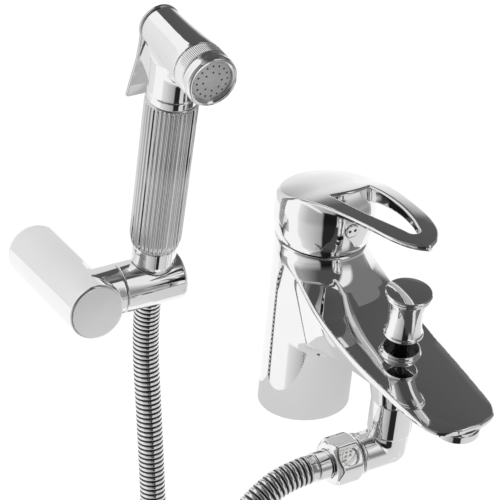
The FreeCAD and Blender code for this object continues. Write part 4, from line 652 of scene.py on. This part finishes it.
# Turned pieces: knob, collars, ferrules and rings, machined from brass bar and chrome plated.
# Each is a profile of radii and heights, turned about its own axis with its corners rounded.
def soft_profile(corners):
    """Points with their normals along a profile; a corner is (radius, height, rounding)."""
    pts = [np.array(c[:2], float) for c in corners]
    rounds = [c[2] if len(c) > 2 else 0.0 for c in corners]
    made = []

    def out(a, b):
        d = (b - a) / np.linalg.norm(b - a)
        return np.array([d[1], -d[0]])

    for k, here in enumerate(pts):
        if k == 0:
            made.append((here, out(here, pts[1])))
            continue
        if k == len(pts) - 1:
            made.append((here, out(pts[k - 1], here)))
            continue
        before, after = pts[k - 1], pts[k + 1]
        n0, n1 = out(before, here), out(here, after)
        come = (here - before) / np.linalg.norm(here - before)
        go = (after - here) / np.linalg.norm(after - here)
        angle = math.acos(max(-1.0, min(1.0, come.dot(go))))
        if rounds[k] <= 0.0 or angle < 0.02:
            if angle < 0.5:
                n = n0 + n1
                made.append((here, n / np.linalg.norm(n)))
            else:
                made += [(here, n0), (here, n1)]
            continue
        trim = rounds[k] * math.tan(angle / 2)
        room = 0.48 * min(np.linalg.norm(here - before), np.linalg.norm(after - here))
        trim = min(trim, room)
        start, end = here - come * trim, here + go * trim
        for t in np.linspace(0.0, 1.0, 6):
            point = (1 - t) ** 2 * start + 2 * t * (1 - t) * here + t * t * end
            n = (1 - t) * n0 + t * n1
            made.append((point, n / np.linalg.norm(n)))
    return made


def lathe(name, corners, origin, axis, look, body, nodes=(), segments=96, teeth=None):
    """A turned piece; teeth is (count, depth, low, high) for a fluted or knurled band."""
    profile = soft_profile(corners)
    axis = np.array(axis, float)
    axis /= np.linalg.norm(axis)
    side = np.cross(axis, (0.0, 1.0, 0.0) if abs(axis[0]) > 0.9 else (1.0, 0.0, 0.0))
    side /= np.linalg.norm(side)
    other = np.cross(axis, side)
    origin = np.array(origin, float)
    angles = np.arange(segments) * 2 * math.pi / segments
    around = side[None] * np.cos(angles)[:, None] + other[None] * np.sin(angles)[:, None]
    points, normals = [], []
    for (radius, height), (nr, nh) in profile:
        radii = np.full(segments, max(radius, 0.0))
        if teeth and teeth[2] < height < teeth[3]:
            radii = radii - teeth[1] * teeth_shape(angles * teeth[0])
        points.append(origin + axis * height + around * radii[:, None])
        normals.append(around * nr + axis * nh)
    points = np.vstack(points)
    normals = np.vstack(normals)
    faces = []
    for ring in range(len(profile) - 1):
        if np.linalg.norm(profile[ring][0] - profile[ring + 1][0]) < 1e-9:
            continue
        low = ring * segments
        for k in range(segments):
            nxt = (k + 1) % segments
            faces.append((low + k, low + nxt, low + segments + nxt, low + segments + k))
    return new_piece(name, points * MM, faces, look, body, nodes, None if teeth else normals)


def teeth_shape(phase):
    """Depth of a flute's round hollow, nothing on the land between two flutes."""
    place = np.abs(np.mod(phase / (2 * math.pi), 1.0) - 0.5) * 2.0
    return np.sqrt(np.clip(1.0 - (place / 0.62) ** 2, 0.0, 1.0))


def curve_rows(points, count):
    """Even steps along a smooth profile curve through a few points."""
    pts = np.array(points, float)
    at = np.linspace(0.0, 1.0, len(pts))
    radius = table(list(zip(at, pts[:, 0])), 1)
    height = table(list(zip(at, pts[:, 1])), 1)
    steps = np.linspace(0.0, 1.0, count)
    return [(float(r), float(h)) for r, h in zip(radius(steps), height(steps))]


KNOB_LOW = 95.6
KNOB_HIGH = 121.5
waist = curve_rows([(8.75, KNOB_LOW + 3.2), (8.3, KNOB_LOW + 6.4), (8.15, KNOB_LOW + 10.0),
                    (8.35, KNOB_LOW + 13.6), (8.95, KNOB_LOW + 17.2), (9.9, KNOB_LOW + 20.6)], 22)
lathe("diverter_knob_turned",
      [(0.0, KNOB_LOW), (9.0, KNOB_LOW, 0.5), (9.6, KNOB_LOW + 0.9, 0.5), (9.5, KNOB_LOW + 2.0, 0.5),
       (8.9, KNOB_LOW + 2.5, 0.2)] + waist +
      [(10.1, KNOB_LOW + 21.3, 0.2), (10.8, KNOB_LOW + 21.9, 0.3), (10.9, KNOB_LOW + 22.8, 0.2),
       (10.6, KNOB_LOW + 23.1, 0.1), (11.2, KNOB_LOW + 23.6, 0.4), (11.4, KNOB_LOW + 24.4, 0.5),
       (10.8, KNOB_HIGH - 0.9, 0.6), (8.0, KNOB_HIGH - 0.45), (5.0, KNOB_HIGH - 0.17),
       (2.5, KNOB_HIGH - 0.04), (0.0, KNOB_HIGH)],
      lean_point(DIVERTER_REACH, 0.0), AXIS_UP, chrome, "diverter", ["diverter_knob"])

lathe("aerator_ring",
      [(8.7, 76.4), (8.7, 75.3, 0.3), (10.0, 74.9, 0.5), (11.1, 75.5, 0.6), (11.1, 79.2, 0.3),
       (10.4, 79.3, 0.1), (10.3, 80.4)],
      lean_point(AERATOR_REACH, 0.0), AXIS_UP, chrome, "mixer", ["aerator_housing"])

lathe("cover_ring_turned",
      [(17.5, 102.2), (17.5, COLUMN_TOP, 0.1), (20.4, 105.62, 0.1), (20.4, 106.0, 0.2),
       (16.4, 108.6, 0.4), (14.8, 108.6, 0.3), (14.8, 103.1)],
      (0.0, 0.0, 0.0), AXIS_UP, chrome, "mixer", ["cover_ring"])

# Index plug: small round button, chrome plated, pressed into the hole in the barrel's front.
# It carries two dark dots side by side.
PLUG_FACE = 25.65
DOT_X = 1.5
DOT_H = 122.1
lathe("index_plug_turned",
      [(3.48, -2.1), (3.48, 0.0, 0.45), (2.9, 0.12, 0.1), (1.5, 0.2), (0.0, 0.22)],
      lean_point(PLUG_FACE - 0.2, PLUG_H), AXIS_FRONT, chrome, "lever", ["index_plug"], 48)
dot_look = Look("index_dot_look", Metallic=0.0, Roughness=0.45)
dot_grain = dot_look.noise(3000.0)
dot_look.put("Base Color", dot_look.mix(dot_grain, (0.012, 0.012, 0.014, 1.0), (0.03, 0.03, 0.034, 1.0)))
for dot_name, dot_x in (("index_dot_left", -DOT_X), ("index_dot_right", DOT_X)):
    lathe(dot_name, [(0.85, -0.5), (0.85, 0.04, 0.1), (0.0, 0.08)],
          lean_point(PLUG_FACE, DOT_H, dot_x), AXIS_FRONT, dot_look, "lever", (), 20)

# Outlet elbow: chromed brass elbow under the spout that carries the hose of the hand spray.
# Its leg follows the column's lean, and its short arm points level to the left.
ELBOW_R = 10.0
ELBOW_LOW_H = 26.8
SLEEVE_R = 10.8
SLEEVE_LOW_H = 37.6
SLEEVE_TOP_H = 57.2
ELBOW_ARM_R = 9.9
ELBOW_ARM_END = -18.5
BEAD_R = 10.6
BEAD_X = -17.6
BEAD_HALF = 0.9
THREAD_R = 8.4
THREAD_START = -10.0
THREAD_END = -26.3


def elbow_field(x, y, z):
    p, w = upright(y, z)
    leg_ring = np.hypot(x, p - DIVERTER_REACH)
    wide = rounded_cut(leg_ring - SLEEVE_R, SLEEVE_LOW_H - w, 0.7)
    narrow = np.maximum(leg_ring - ELBOW_R, ELBOW_LOW_H - w)
    leg = rounded_cut(filleted(wide, narrow, 0.4), w - SLEEVE_TOP_H, 0.4)
    ball = np.sqrt(x ** 2 + (y - OUTLET_AT[1]) ** 2 + (z - OUTLET_AT[2]) ** 2) - ELBOW_R
    arm_ring = np.hypot(y - OUTLET_AT[1], z - OUTLET_AT[2])
    arm = np.maximum(arm_ring - ELBOW_ARM_R, x)
    arm = np.maximum(arm, ELBOW_ARM_END - x)
    bead = rounded_cut(arm_ring - BEAD_R, np.abs(x - BEAD_X) - BEAD_HALF, 0.4)
    thread = np.maximum(np.maximum(arm_ring - THREAD_R, x - THREAD_START), THREAD_END - x)
    whole = np.minimum(ball, filleted(leg, arm, 1.5))
    whole = filleted(whole, bead, 0.4)
    return np.minimum(whole, thread)


grown("outlet_elbow_cast", elbow_field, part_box("outlet_elbow"), 0.55, chrome, "mixer", ["outlet_elbow"])

# Swivel nut: round chromed nut with six flats, bevelled ends and a dimple in every other flat.
# It screws onto the elbow's thread and draws the hose's ferrule against the elbow's end.
NUT_START = -18.8
NUT_LENGTH = 15.5
NUT_TURN = math.radians(24.0)
NUT_R = 12.3
NUT_BEVEL_R = 10.1
NUT_FLAT = 11.2
NUT_BORE_R = 7.4
DIMPLE_R = 4.3
DIMPLE_FLOOR = 10.0


def nut_field(x, y, z):
    along = NUT_START - x
    dy = y - OUTLET_AT[1]
    dz = z - OUTLET_AT[2]
    ring = np.hypot(dy, dz)
    bevel = np.abs(along - NUT_LENGTH / 2) - NUT_LENGTH / 2
    whole = rounded_cut(ring - NUT_R, bevel, 0.4)
    cone_cut = (ring - NUT_BEVEL_R + bevel * 0.95) * 0.72
    whole = rounded_cut(whole, cone_cut, 0.5)
    flats = np.full(np.shape(ring), -FAR)
    for k in range(6):
        angle = math.radians(60.0 * k) + NUT_TURN
        flats = np.maximum(flats, dy * math.cos(angle) + dz * math.sin(angle) - NUT_FLAT)
    whole = rounded_cut(whole, flats, 0.45)
    for k in (0, 2, 4):
        angle = math.radians(60.0 * k) + NUT_TURN
        out = dy * math.cos(angle) + dz * math.sin(angle)
        across = -dy * math.sin(angle) + dz * math.cos(angle)
        dimple = np.maximum(np.hypot(across, along - NUT_LENGTH / 2) - DIMPLE_R, DIMPLE_FLOOR - out)
        whole = rounded_cut(whole, -dimple, 0.3)
    return np.maximum(whole, NUT_BORE_R - ring)


grown("outlet_nut_turned", nut_field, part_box("outlet_nut"), 0.4, chrome, "mixer", ["outlet_nut"])
lathe("outlet_ferrule_turned",
      [(6.0, 0.0), (8.1, 0.0, 0.2), (8.1, 2.2, 0.2), (7.2, 2.3, 0.2), (7.2, 12.2, 0.5),
       (7.0, 12.9, 0.4), (6.4, 13.1)],
      (-29.0, OUTLET_AT[1], OUTLET_AT[2]), (-1.0, 0.0, 0.0), chrome, "mixer", ["outlet_ferrule"], 64)

# Wall post: short round post with a stub arm, cast and chrome plated.
# A grub screw holds it on the wall plate, and the stub carries the swivelling holder.
# The post's flat front has a softer shine.
POST_X = -104.0
POST_Z = 65.3
POST_R = 14.9
POST_FRONT_Y = 28.0
POST_BACK_Y = 105.0
ARM_Y = 43.2
ARM_Z = 67.0
ARM_R = 13.1
SEAM_X = -85.7


def post_field(x, y, z):
    post_ring = np.hypot(x - POST_X, z - POST_Z)
    post = rounded_cut(post_ring - POST_R, POST_FRONT_Y - y, 1.5)
    post = rounded_cut(post, y - POST_BACK_Y, 0.4)
    arm_ring = np.hypot(y - ARM_Y, z - ARM_Z)
    stub = rounded_cut(arm_ring - ARM_R, x - SEAM_X, 0.5)
    stub = np.maximum(stub, POST_X - x)
    return filleted(post, stub, 0.5)


post_look = chrome_look("post_chrome_look", "chrome", *BRIGHT)
post_y = post_look.node("ShaderNodeSeparateXYZ", None, {"Vector": post_look.place()}, out=1)
on_front = post_y < (POST_FRONT_Y + 0.3) * MM
post_look.put("Roughness", 0.05 + 0.22 * on_front)
grown("wall_post_cast", post_field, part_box("wall_post"), 0.6, post_look, "mixer", ["wall_post"])

# Holder: short bar that swivels on the stub, with a tapered seat for the handset.
# A gap behind the seat lets the hose through.
HOLDER_START = -85.4
HOLDER_END = -50.2
HOLDER_BACK = np.cross(GRIP_ALONG, (1.0, 0.0, 0.0))
HOLDER_DOME = 0.7
SLOT_HALF = 7.8
SEAT_H = [-26.0, 10.5, 17.2, 30.0]
SEAT_RADII = [9.52, 10.12, 11.82, 11.82]


def grip_place(x, y, z):
    """Height up the grip, and distance to its back and to its side, from the grip's foot."""
    dx, dy, dz = x - GRIP_AT[0], y - GRIP_AT[1], z - GRIP_AT[2]
    t = dy * GRIP_ALONG[1] + dz * GRIP_ALONG[2]
    back = dy * HOLDER_BACK[1] + dz * HOLDER_BACK[2]
    return t, back, dx


def holder_field(x, y, z):
    ring = np.hypot(y - ARM_Y, z - ARM_Z)
    bar = rounded_cut(ring - ARM_R, HOLDER_START - x, 0.5)
    dome = x - HOLDER_END + HOLDER_DOME * (ring / ARM_R) ** 2
    bar = rounded_cut(bar, dome, 2.0)
    t, back, dx = grip_place(x, y, z)
    axial = np.hypot(dx, back)
    seat = np.interp(t, SEAT_H, SEAT_RADII)
    bar = rounded_cut(bar, seat - axial, 0.6)
    slot = np.maximum(np.abs(dx) - SLOT_HALF, -back)
    return rounded_cut(bar, -slot, 0.6)


grown("holder_cast", holder_field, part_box("holder"), 0.55, chrome, "holder", ["holder"])

# Handset's grip: its cone, its fluted sleeve and the nut and ferrule of the hose.
# All are turned and chrome plated, the sleeve with a softer shine.
lathe("handset_cone_turned",
      [(7.4, 0.2), (9.4, 0.2, 0.3), (10.0, 10.5, 0.4), (11.5, 16.6, 0.8), (11.7, 18.2, 0.6),
       (11.7, 27.0, 0.5), (11.0, 27.6, 0.2), (9.1, 27.7)],
      GRIP_AT, GRIP_ALONG, chrome, "handset", ["handset_cone"])
lathe("handset_ferrule_turned",
      [(5.0, -6.0), (6.9, -6.0, 0.3), (7.3, -5.2, 0.3), (7.3, 0.25)],
      GRIP_AT, GRIP_ALONG, chrome, "handset", ["handset_ferrule"], 64)
lathe("handset_nut_turned",
      [(7.4, -5.3), (8.1, -5.3, 0.3), (9.0, -0.6, 0.3), (9.0, 0.0)],
      GRIP_AT, GRIP_ALONG, chrome, "handset", ["handset_nut"], 64)
FLUTES = 36
FLUTE_DEPTH = 0.85
SLEEVE_ROWS = 7
sleeve_rows = [(13.05, 31.6), (13.3, 33.4)]
sleeve_rows += [(13.3, 33.4 + k * 10.0) for k in range(1, SLEEVE_ROWS + 1)] + [(13.3, 114.6)]
lathe("grip_sleeve_fluted",
      [(9.1, 28.05), (12.1, 28.05, 0.4), (12.5, 29.0, 0.4), (12.7, 30.4, 0.3)] + sleeve_rows +
      [(13.2, 116.2, 0.3), (12.8, 117.6, 0.4), (12.4, 118.0, 0.2), (9.1, 118.05)],
      GRIP_AT, GRIP_ALONG, satin, "handset", ["grip_sleeve"], FLUTES * 10,
      (FLUTES, FLUTE_DEPTH, 28.6, 117.4))

# Handset body: head and neck in one casting, chrome plated.
# A web behind the neck carries the trigger's pin.
DIP = math.radians(11.0)
HEAD_AT = np.array([-65.3, -24.4, 200.9])
HEAD_BACK = np.array([0.0, math.cos(DIP), math.sin(DIP)])
HEAD_UP = np.array([0.0, -math.sin(DIP), math.cos(DIP)])
HEAD_R = [(10.0, 12.9), (16.0, 12.85), (25.0, 12.15), (35.0, 11.3), (45.0, 10.7), (52.6, 10.4)]
HEAD_LENGTH = 52.6
HEAD_FRONT = 14.5
NECK_R = 12.1
NECK_LOW = 118.2
NECK_TOP = 141.0
NECK_RING_R = 12.6
NECK_RING_AT = 120.35
NECK_RING_HALF = 2.15
WEB_HALF = 7.0
WEB = [(6.0, 206.0), (27.9, 206.9), (32.8, 200.0), (37.7, 192.1), (34.5, 190.4), (31.3, 187.8),
       (29.2, 185.0), (28.4, 182.2), (22.0, 181.2), (8.0, 190.0)]
head_radius = table(HEAD_R, 1)


def head_place(x, y, z):
    """Distance back from the spray face, up square to the head's axis, and to the side."""
    dx, dy, dz = x - HEAD_AT[0], y - HEAD_AT[1], z - HEAD_AT[2]
    back = dy * HEAD_BACK[1] + dz * HEAD_BACK[2]
    rise = dy * HEAD_UP[1] + dz * HEAD_UP[2]
    return back, rise, dx


def outline_distance(outline, a, b, closed=True):
    """Distance of points to an outline in a plane, less than nothing inside a closed one."""
    nearest = np.full(np.shape(a), FAR)
    inside = np.zeros(np.shape(a), bool)
    pairs = list(zip(outline, outline[1:] + (outline[:1] if closed else [])))
    for (a0, b0), (a1, b1) in pairs:
        da, db = a1 - a0, b1 - b0
        share = np.clip(((a - a0) * da + (b - b0) * db) / (da * da + db * db), 0.0, 1.0)
        nearest = np.minimum(nearest, np.hypot(a - a0 - share * da, b - b0 - share * db))
        if closed and abs(db) > 1e-9:
            crosses = (b0 > b) != (b1 > b)
            inside ^= crosses & (a < a0 + (b - b0) / db * da)
    return np.where(inside, -nearest, nearest) if closed else nearest


def handset_field(x, y, z):
    back, rise, dx = head_place(x, y, z)
    ring = np.hypot(rise, dx)
    head = rounded_cut(ring - head_radius(back), back - HEAD_LENGTH, 1.0)
    head = rounded_cut(head, HEAD_FRONT - back, 0.3)
    t, behind, _ = grip_place(x, y, z)
    neck_ring = np.hypot(dx, behind)
    neck = np.maximum(neck_ring - NECK_R, NECK_LOW - t)
    neck = np.maximum(neck, t - NECK_TOP)
    whole = filleted(head, neck, 5.0)
    collar = rounded_cut(neck_ring - NECK_RING_R, np.abs(t - NECK_RING_AT) - NECK_RING_HALF, 0.5)
    whole = filleted(whole, collar, 0.5)
    web = rounded_cut(outline_distance(WEB, y, z), np.abs(dx) - WEB_HALF, 0.9)
    return filleted(whole, web, 1.2)


grown("handset_body_cast", handset_field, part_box("handset_body"), 0.6, chrome, "handset", ["handset_body"])

# Spray face: a screwed ring with a polished lip and a knurled band, turned and chrome plated.
# It holds a pressed plate with two rings of dark jets.
KNURLS = 96
KNURL_DEPTH = 0.30
lathe("spray_bezel_turned",
      [(10.1, 1.9), (10.3, 0.2, 0.3), (11.2, -0.55, 0.5), (12.3, -0.3, 0.6), (13.0, 0.9, 0.6),
       (13.0, 3.0, 0.4), (12.3, 3.6, 0.2), (12.3, 5.9, 0.2), (12.6, 6.3, 0.1), (12.95, 6.9), (12.95, 8.4),
       (12.95, 10.2), (12.95, 12.0), (12.95, 13.5), (12.6, 14.2, 0.1), (12.2, 14.3)],
      HEAD_AT, HEAD_BACK, chrome, "handset", ["spray_bezel"], KNURLS * 6, (KNURLS, KNURL_DEPTH, 6.6, 13.8))
plate_look = Look("spray_plate_look", "chrome", Metallic=0.85)
plate_grain = plate_look.noise(420.0, 5.0)
plate_look.put("Base Color", plate_look.mix(plate_grain, (0.50, 0.50, 0.51, 1.0), (0.62, 0.62, 0.63, 1.0)))
plate_look.put("Roughness", 0.32 + 0.12 * plate_grain)
plate_look.put("Normal", plate_look.bump(plate_grain, 0.15, 0.0002))
lathe("spray_plate_pressed", [(0.0, 0.5), (5.0, 0.7), (10.15, 1.3, 0.1), (10.15, 2.6)],
      HEAD_AT, HEAD_BACK, plate_look, "handset", ["spray_plate"], 72)
jet_look = Look("jet_look", Metallic=0.0, Roughness=0.6)
jet_grain = jet_look.noise(2500.0)
jet_look.put("Base Color", jet_look.mix(jet_grain, (0.008, 0.008, 0.008, 1.0), (0.03, 0.03, 0.03, 1.0)))
for count, radius, face in ((16, 7.9, 1.02), (8, 4.8, 0.69)):
    for k in range(count):
        angle = 2 * math.pi * k / count
        aside = np.array([radius * math.cos(angle), 0.0, 0.0])
        spot = HEAD_AT + HEAD_UP * radius * math.sin(angle) + aside
        lathe(f"jet_{count}_{k}", [(0.0, face - 0.08), (0.5, face - 0.06, 0.1), (0.56, face + 0.3)],
              spot, HEAD_BACK, jet_look, "handset", (), 12)

# Trigger: pressed thumb plate, chrome plated, with a softer shine than the head.
# A round pad lies behind the head, and the blade below it flares back.
TRIGGER_LINE = [(28.3, 207.1), (33.2, 200.2), (38.4, 191.8), (43.6, 182.6), (48.2, 174.2), (52.4, 166.0)]
PAD_TOP = HEAD_AT + HEAD_BACK * (HEAD_LENGTH + 0.3) + HEAD_UP * 11.8
PAD_R = 10.8
PAD_LOW_Z = 207.6
BLADE_TOP_Z = 208.5
BLADE_LOW_Z = 166.6
BLADE_Z = [160.0, 191.8, 202.0, 208.0]
BLADE_HALVES = [7.5, 7.5, 8.9, 10.4]
TRIGGER_T = 1.8


def trigger_middle():
    """The plate's middle line in its side view."""
    line = [np.array([PAD_TOP[1], PAD_TOP[2]])] + [np.array(p) for p in TRIGGER_LINE]
    made = []
    for k, point in enumerate(line):
        d = line[min(k + 1, len(line) - 1)] - line[max(k - 1, 0)]
        d = d / np.linalg.norm(d)
        made.append(tuple(point + np.array([-d[1], d[0]]) * TRIGGER_T / 2))
    return made


trigger_line = trigger_middle()


def trigger_field(x, y, z):
    _, rise, dx = head_place(x, y, z)
    plate = outline_distance(trigger_line, y, z, closed=False) - TRIGGER_T / 2
    pad = np.hypot(rise, dx) - PAD_R
    half = np.interp(z, BLADE_Z, BLADE_HALVES)
    blade = np.maximum(np.abs(dx) - half, z - BLADE_TOP_Z)
    blade = rounded_cut(blade, BLADE_LOW_Z - z, 1.5)
    plan = np.where(z > PAD_LOW_Z, pad, np.minimum(pad, blade))
    return rounded_cut(plate, plan, 0.5)


grown("trigger_pressed", trigger_field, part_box("trigger"), 0.45, satin, "trigger", ["trigger"])

# Inner and hidden pieces: they keep their solids and get the material that each is made of.
# A row is a dark and a light colour, metal or not, roughness and grain; the diverter's stem is steel with
# painted shade.
INNER_LOOKS = {
    "dark_rubber": ((0.02, 0.02, 0.022), (0.045, 0.045, 0.05), 0.0, 0.62, 700.0),
    "cartridge_plastic": ((0.72, 0.72, 0.68), (0.84, 0.84, 0.80), 0.0, 0.42, 300.0),
    "ceramic": ((0.82, 0.81, 0.77), (0.90, 0.89, 0.85), 0.0, 0.20, 500.0),
    "brass": ((0.60, 0.43, 0.20), (0.74, 0.58, 0.32), 1.0, 0.26, 600.0),
    "steel": ((0.48, 0.48, 0.49), (0.62, 0.62, 0.63), 1.0, 0.30, 800.0),
    "white_plastic": ((0.76, 0.76, 0.75), (0.84, 0.84, 0.83), 0.0, 0.38, 400.0),
    "black_plastic": ((0.02, 0.02, 0.02), (0.05, 0.05, 0.05), 0.0, 0.40, 400.0),
}
looks = {}
for look_name, (dark, light, metal, rough, scale) in INNER_LOOKS.items():
    look = Look(look_name + "_look", look_name, Metallic=metal)
    grain = look.noise(scale, 4.0)
    look.put("Base Color", look.mix(grain, (*dark, 1.0), (*light, 1.0)))
    look.put("Roughness", rough + 0.12 * grain)
    look.put("Normal", look.bump(grain, 0.2, 0.0001))
    looks[look_name] = look
# Near-black steel for the diverter's stem: painted shade in the recess under the knob.
looks["stem"] = chrome_look("stem_painted_shade_look", "steel", 0.10, 0.06, 0.30, 0.05)
for part in frame["record"]["subparts"]:
    look = looks.get("stem" if part["node"] == "diverter_stem" else part["material_slot"])
    if look is not None:
        node = frame["nodes"][part["node"]]
        node.data.materials.clear()
        node.data.materials.append(look.material)

# Wall plate: moulded white disc between the post and the wall.
# Its spigot plugs the post's back end.
PLATE_Y = 103.0
lathe("wall_plate_turned",
      [(12.2, -10.0), (12.2, 0.0), (14.15, 0.0, 0.3), (14.15, 4.0, 0.5), (0.0, 4.0)],
      (POST_X, PLATE_Y, POST_Z), (0.0, 1.0, 0.0), looks["white_plastic"], "mixer", ["wall_plate"], 72)

# Studio: a pale floor under the hose's loop and a white room that lights the chrome from all sides.
# Cards that only reflections see stand round it, dark above, and dark and pale by turns in front.
FLOOR_Z = CAD_BOX[0][2] - 0.001
ROOM_MIDDLE = np.array([-0.03, -0.03, 0.08])
ROOM_R = 0.48
ROOM_STEP = 2.0
TABLE_Z = -0.001


def stage_mesh(name, points, faces, shades):
    """A card that only reflections see, with its own brightness at each corner."""
    mesh = bpy.data.meshes.new(name)
    mesh.from_pydata([tuple(map(float, p)) for p in points], [], faces)
    layer = mesh.color_attributes.new("shade", "FLOAT_COLOR", "POINT")
    for slot, shade in zip(layer.data, shades):
        slot.color = (shade, shade, shade, 1.0)
    look = Look(name + "_look", Roughness=1.0)
    look.put("Base Color", (0.0, 0.0, 0.0, 1.0))
    look.put("Specular IOR Level", 0.0)
    shade = look.node("ShaderNodeAttribute", {"attribute_name": "shade"})
    look.put("Emission Color", shade)
    look.put("Emission Strength", 1.0)
    mesh.materials.append(look.material)
    made = bpy.data.objects.new(name, mesh)
    scene.collection.objects.link(made)
    made.visible_camera = False
    made.visible_shadow = False
    made.visible_diffuse = False


def room_patch(name, around, heights, shade_of):
    """Part of the room's wall; around and heights are angles, clockwise from the wall side and up."""
    columns = np.arange(around[0], around[1] + 0.01, ROOM_STEP)
    rows = np.arange(heights[0], heights[1] + 0.01, ROOM_STEP)
    points, shades, faces = [], [], []
    for row in rows:
        for column in columns:
            az, el = math.radians(column), math.radians(row)
            way = np.array([math.sin(az) * math.cos(el), math.cos(az) * math.cos(el), math.sin(el)])
            points.append(ROOM_MIDDLE + ROOM_R * way)
            shades.append(float(shade_of(column, row)))
    wide = len(columns)
    for r in range(len(rows) - 1):
        for c in range(wide - 1):
            k = r * wide + c
            faces.append((k, k + 1, k + wide + 1, k + wide))
    stage_mesh(name, points, faces, shades)


def ceiling_shade(around, height):
    return np.interp(height, [6, 16, 22, 27, 32, 60], [0.96, 0.80, 0.52, 0.24, 0.11, 0.09])


def front_shade(around, height):
    ring = np.interp(around, [88, 98, 140, 162, 164, 180, 183, 213, 217, 250, 271, 277],
                     [0.5, 0.24, 0.20, 0.30, 0.97, 0.97, 0.01, 0.01, 0.32, 0.50, 0.80, 1.0])
    above = np.interp(around, [88, 138, 144, 158, 163, 220, 270, 277],
                      [0.2, 0.2, 0.9, 0.9, 0.08, 0.08, 0.4, 0.9])
    below = np.interp(around, [88, 160, 181, 184, 213, 217, 271, 277],
                      [0.80, 0.75, 0.70, 0.02, 0.02, 0.4, 0.8, 1.0])
    return np.interp(height, [-26, -14, -4, 16], [below, ring, ring, above])


def crown_shade(around, height):
    left = np.interp(around, [190, 215, 330, 350], [0.0, 1.0, 1.0, 0.0])
    return np.interp(height, [58, 76], [0.10 + 0.5 * left, 0.08])


room_patch("room_ceiling", (-8, 112), (6, 60), ceiling_shade)
room_patch("room_front", (88, 277), (-74, 60), front_shade)
room_patch("room_crown", (-8, 352), (58, 90), crown_shade)
stage_mesh("post_fill", [(-0.30, 0.22, 0.05), (0.02, 0.22, 0.05), (0.02, 0.22, 0.34), (-0.30, 0.22, 0.34)],
           [(0, 1, 2, 3)], [0.9, 0.75, 0.75, 0.95])
stage_mesh("room_table",
           [(-0.045, -0.07, TABLE_Z), (0.10, -0.07, TABLE_Z), (0.10, 0.03, TABLE_Z), (-0.045, 0.03, TABLE_Z)],
           [(0, 1, 2, 3)], [0.72, 0.55, 0.55, 0.72])

FLOOR_REACH = 6.0
floor_mesh = bpy.data.meshes.new("floor")
floor_corners = [(a * FLOOR_REACH, b * FLOOR_REACH, FLOOR_Z) for a, b in ((-1, -1), (1, -1), (1, 1), (-1, 1))]
floor_mesh.from_pydata(floor_corners, [], [(0, 1, 2, 3)])
floor = bpy.data.objects.new("floor", floor_mesh)
scene.collection.objects.link(floor)
floor_look = Look("floor_look", Roughness=0.95)
floor_look.put("Base Color", (0.80, 0.80, 0.80, 1.0))
floor_look.put("Specular IOR Level", 0.0)
floor_look.put("Emission Color", (1.0, 1.0, 1.0, 1.0))
floor_look.put("Emission Strength", 0.24)
floor_mesh.materials.append(floor_look.material)

world = bpy.data.worlds.new("studio")
scene.world = world
world.use_nodes = True
backdrop = world.node_tree.nodes["Background"]
backdrop.inputs["Color"].default_value = (1.0, 1.0, 1.0, 1.0)
backdrop.inputs["Strength"].default_value = 1.0
scene.view_settings.view_transform = "Standard"
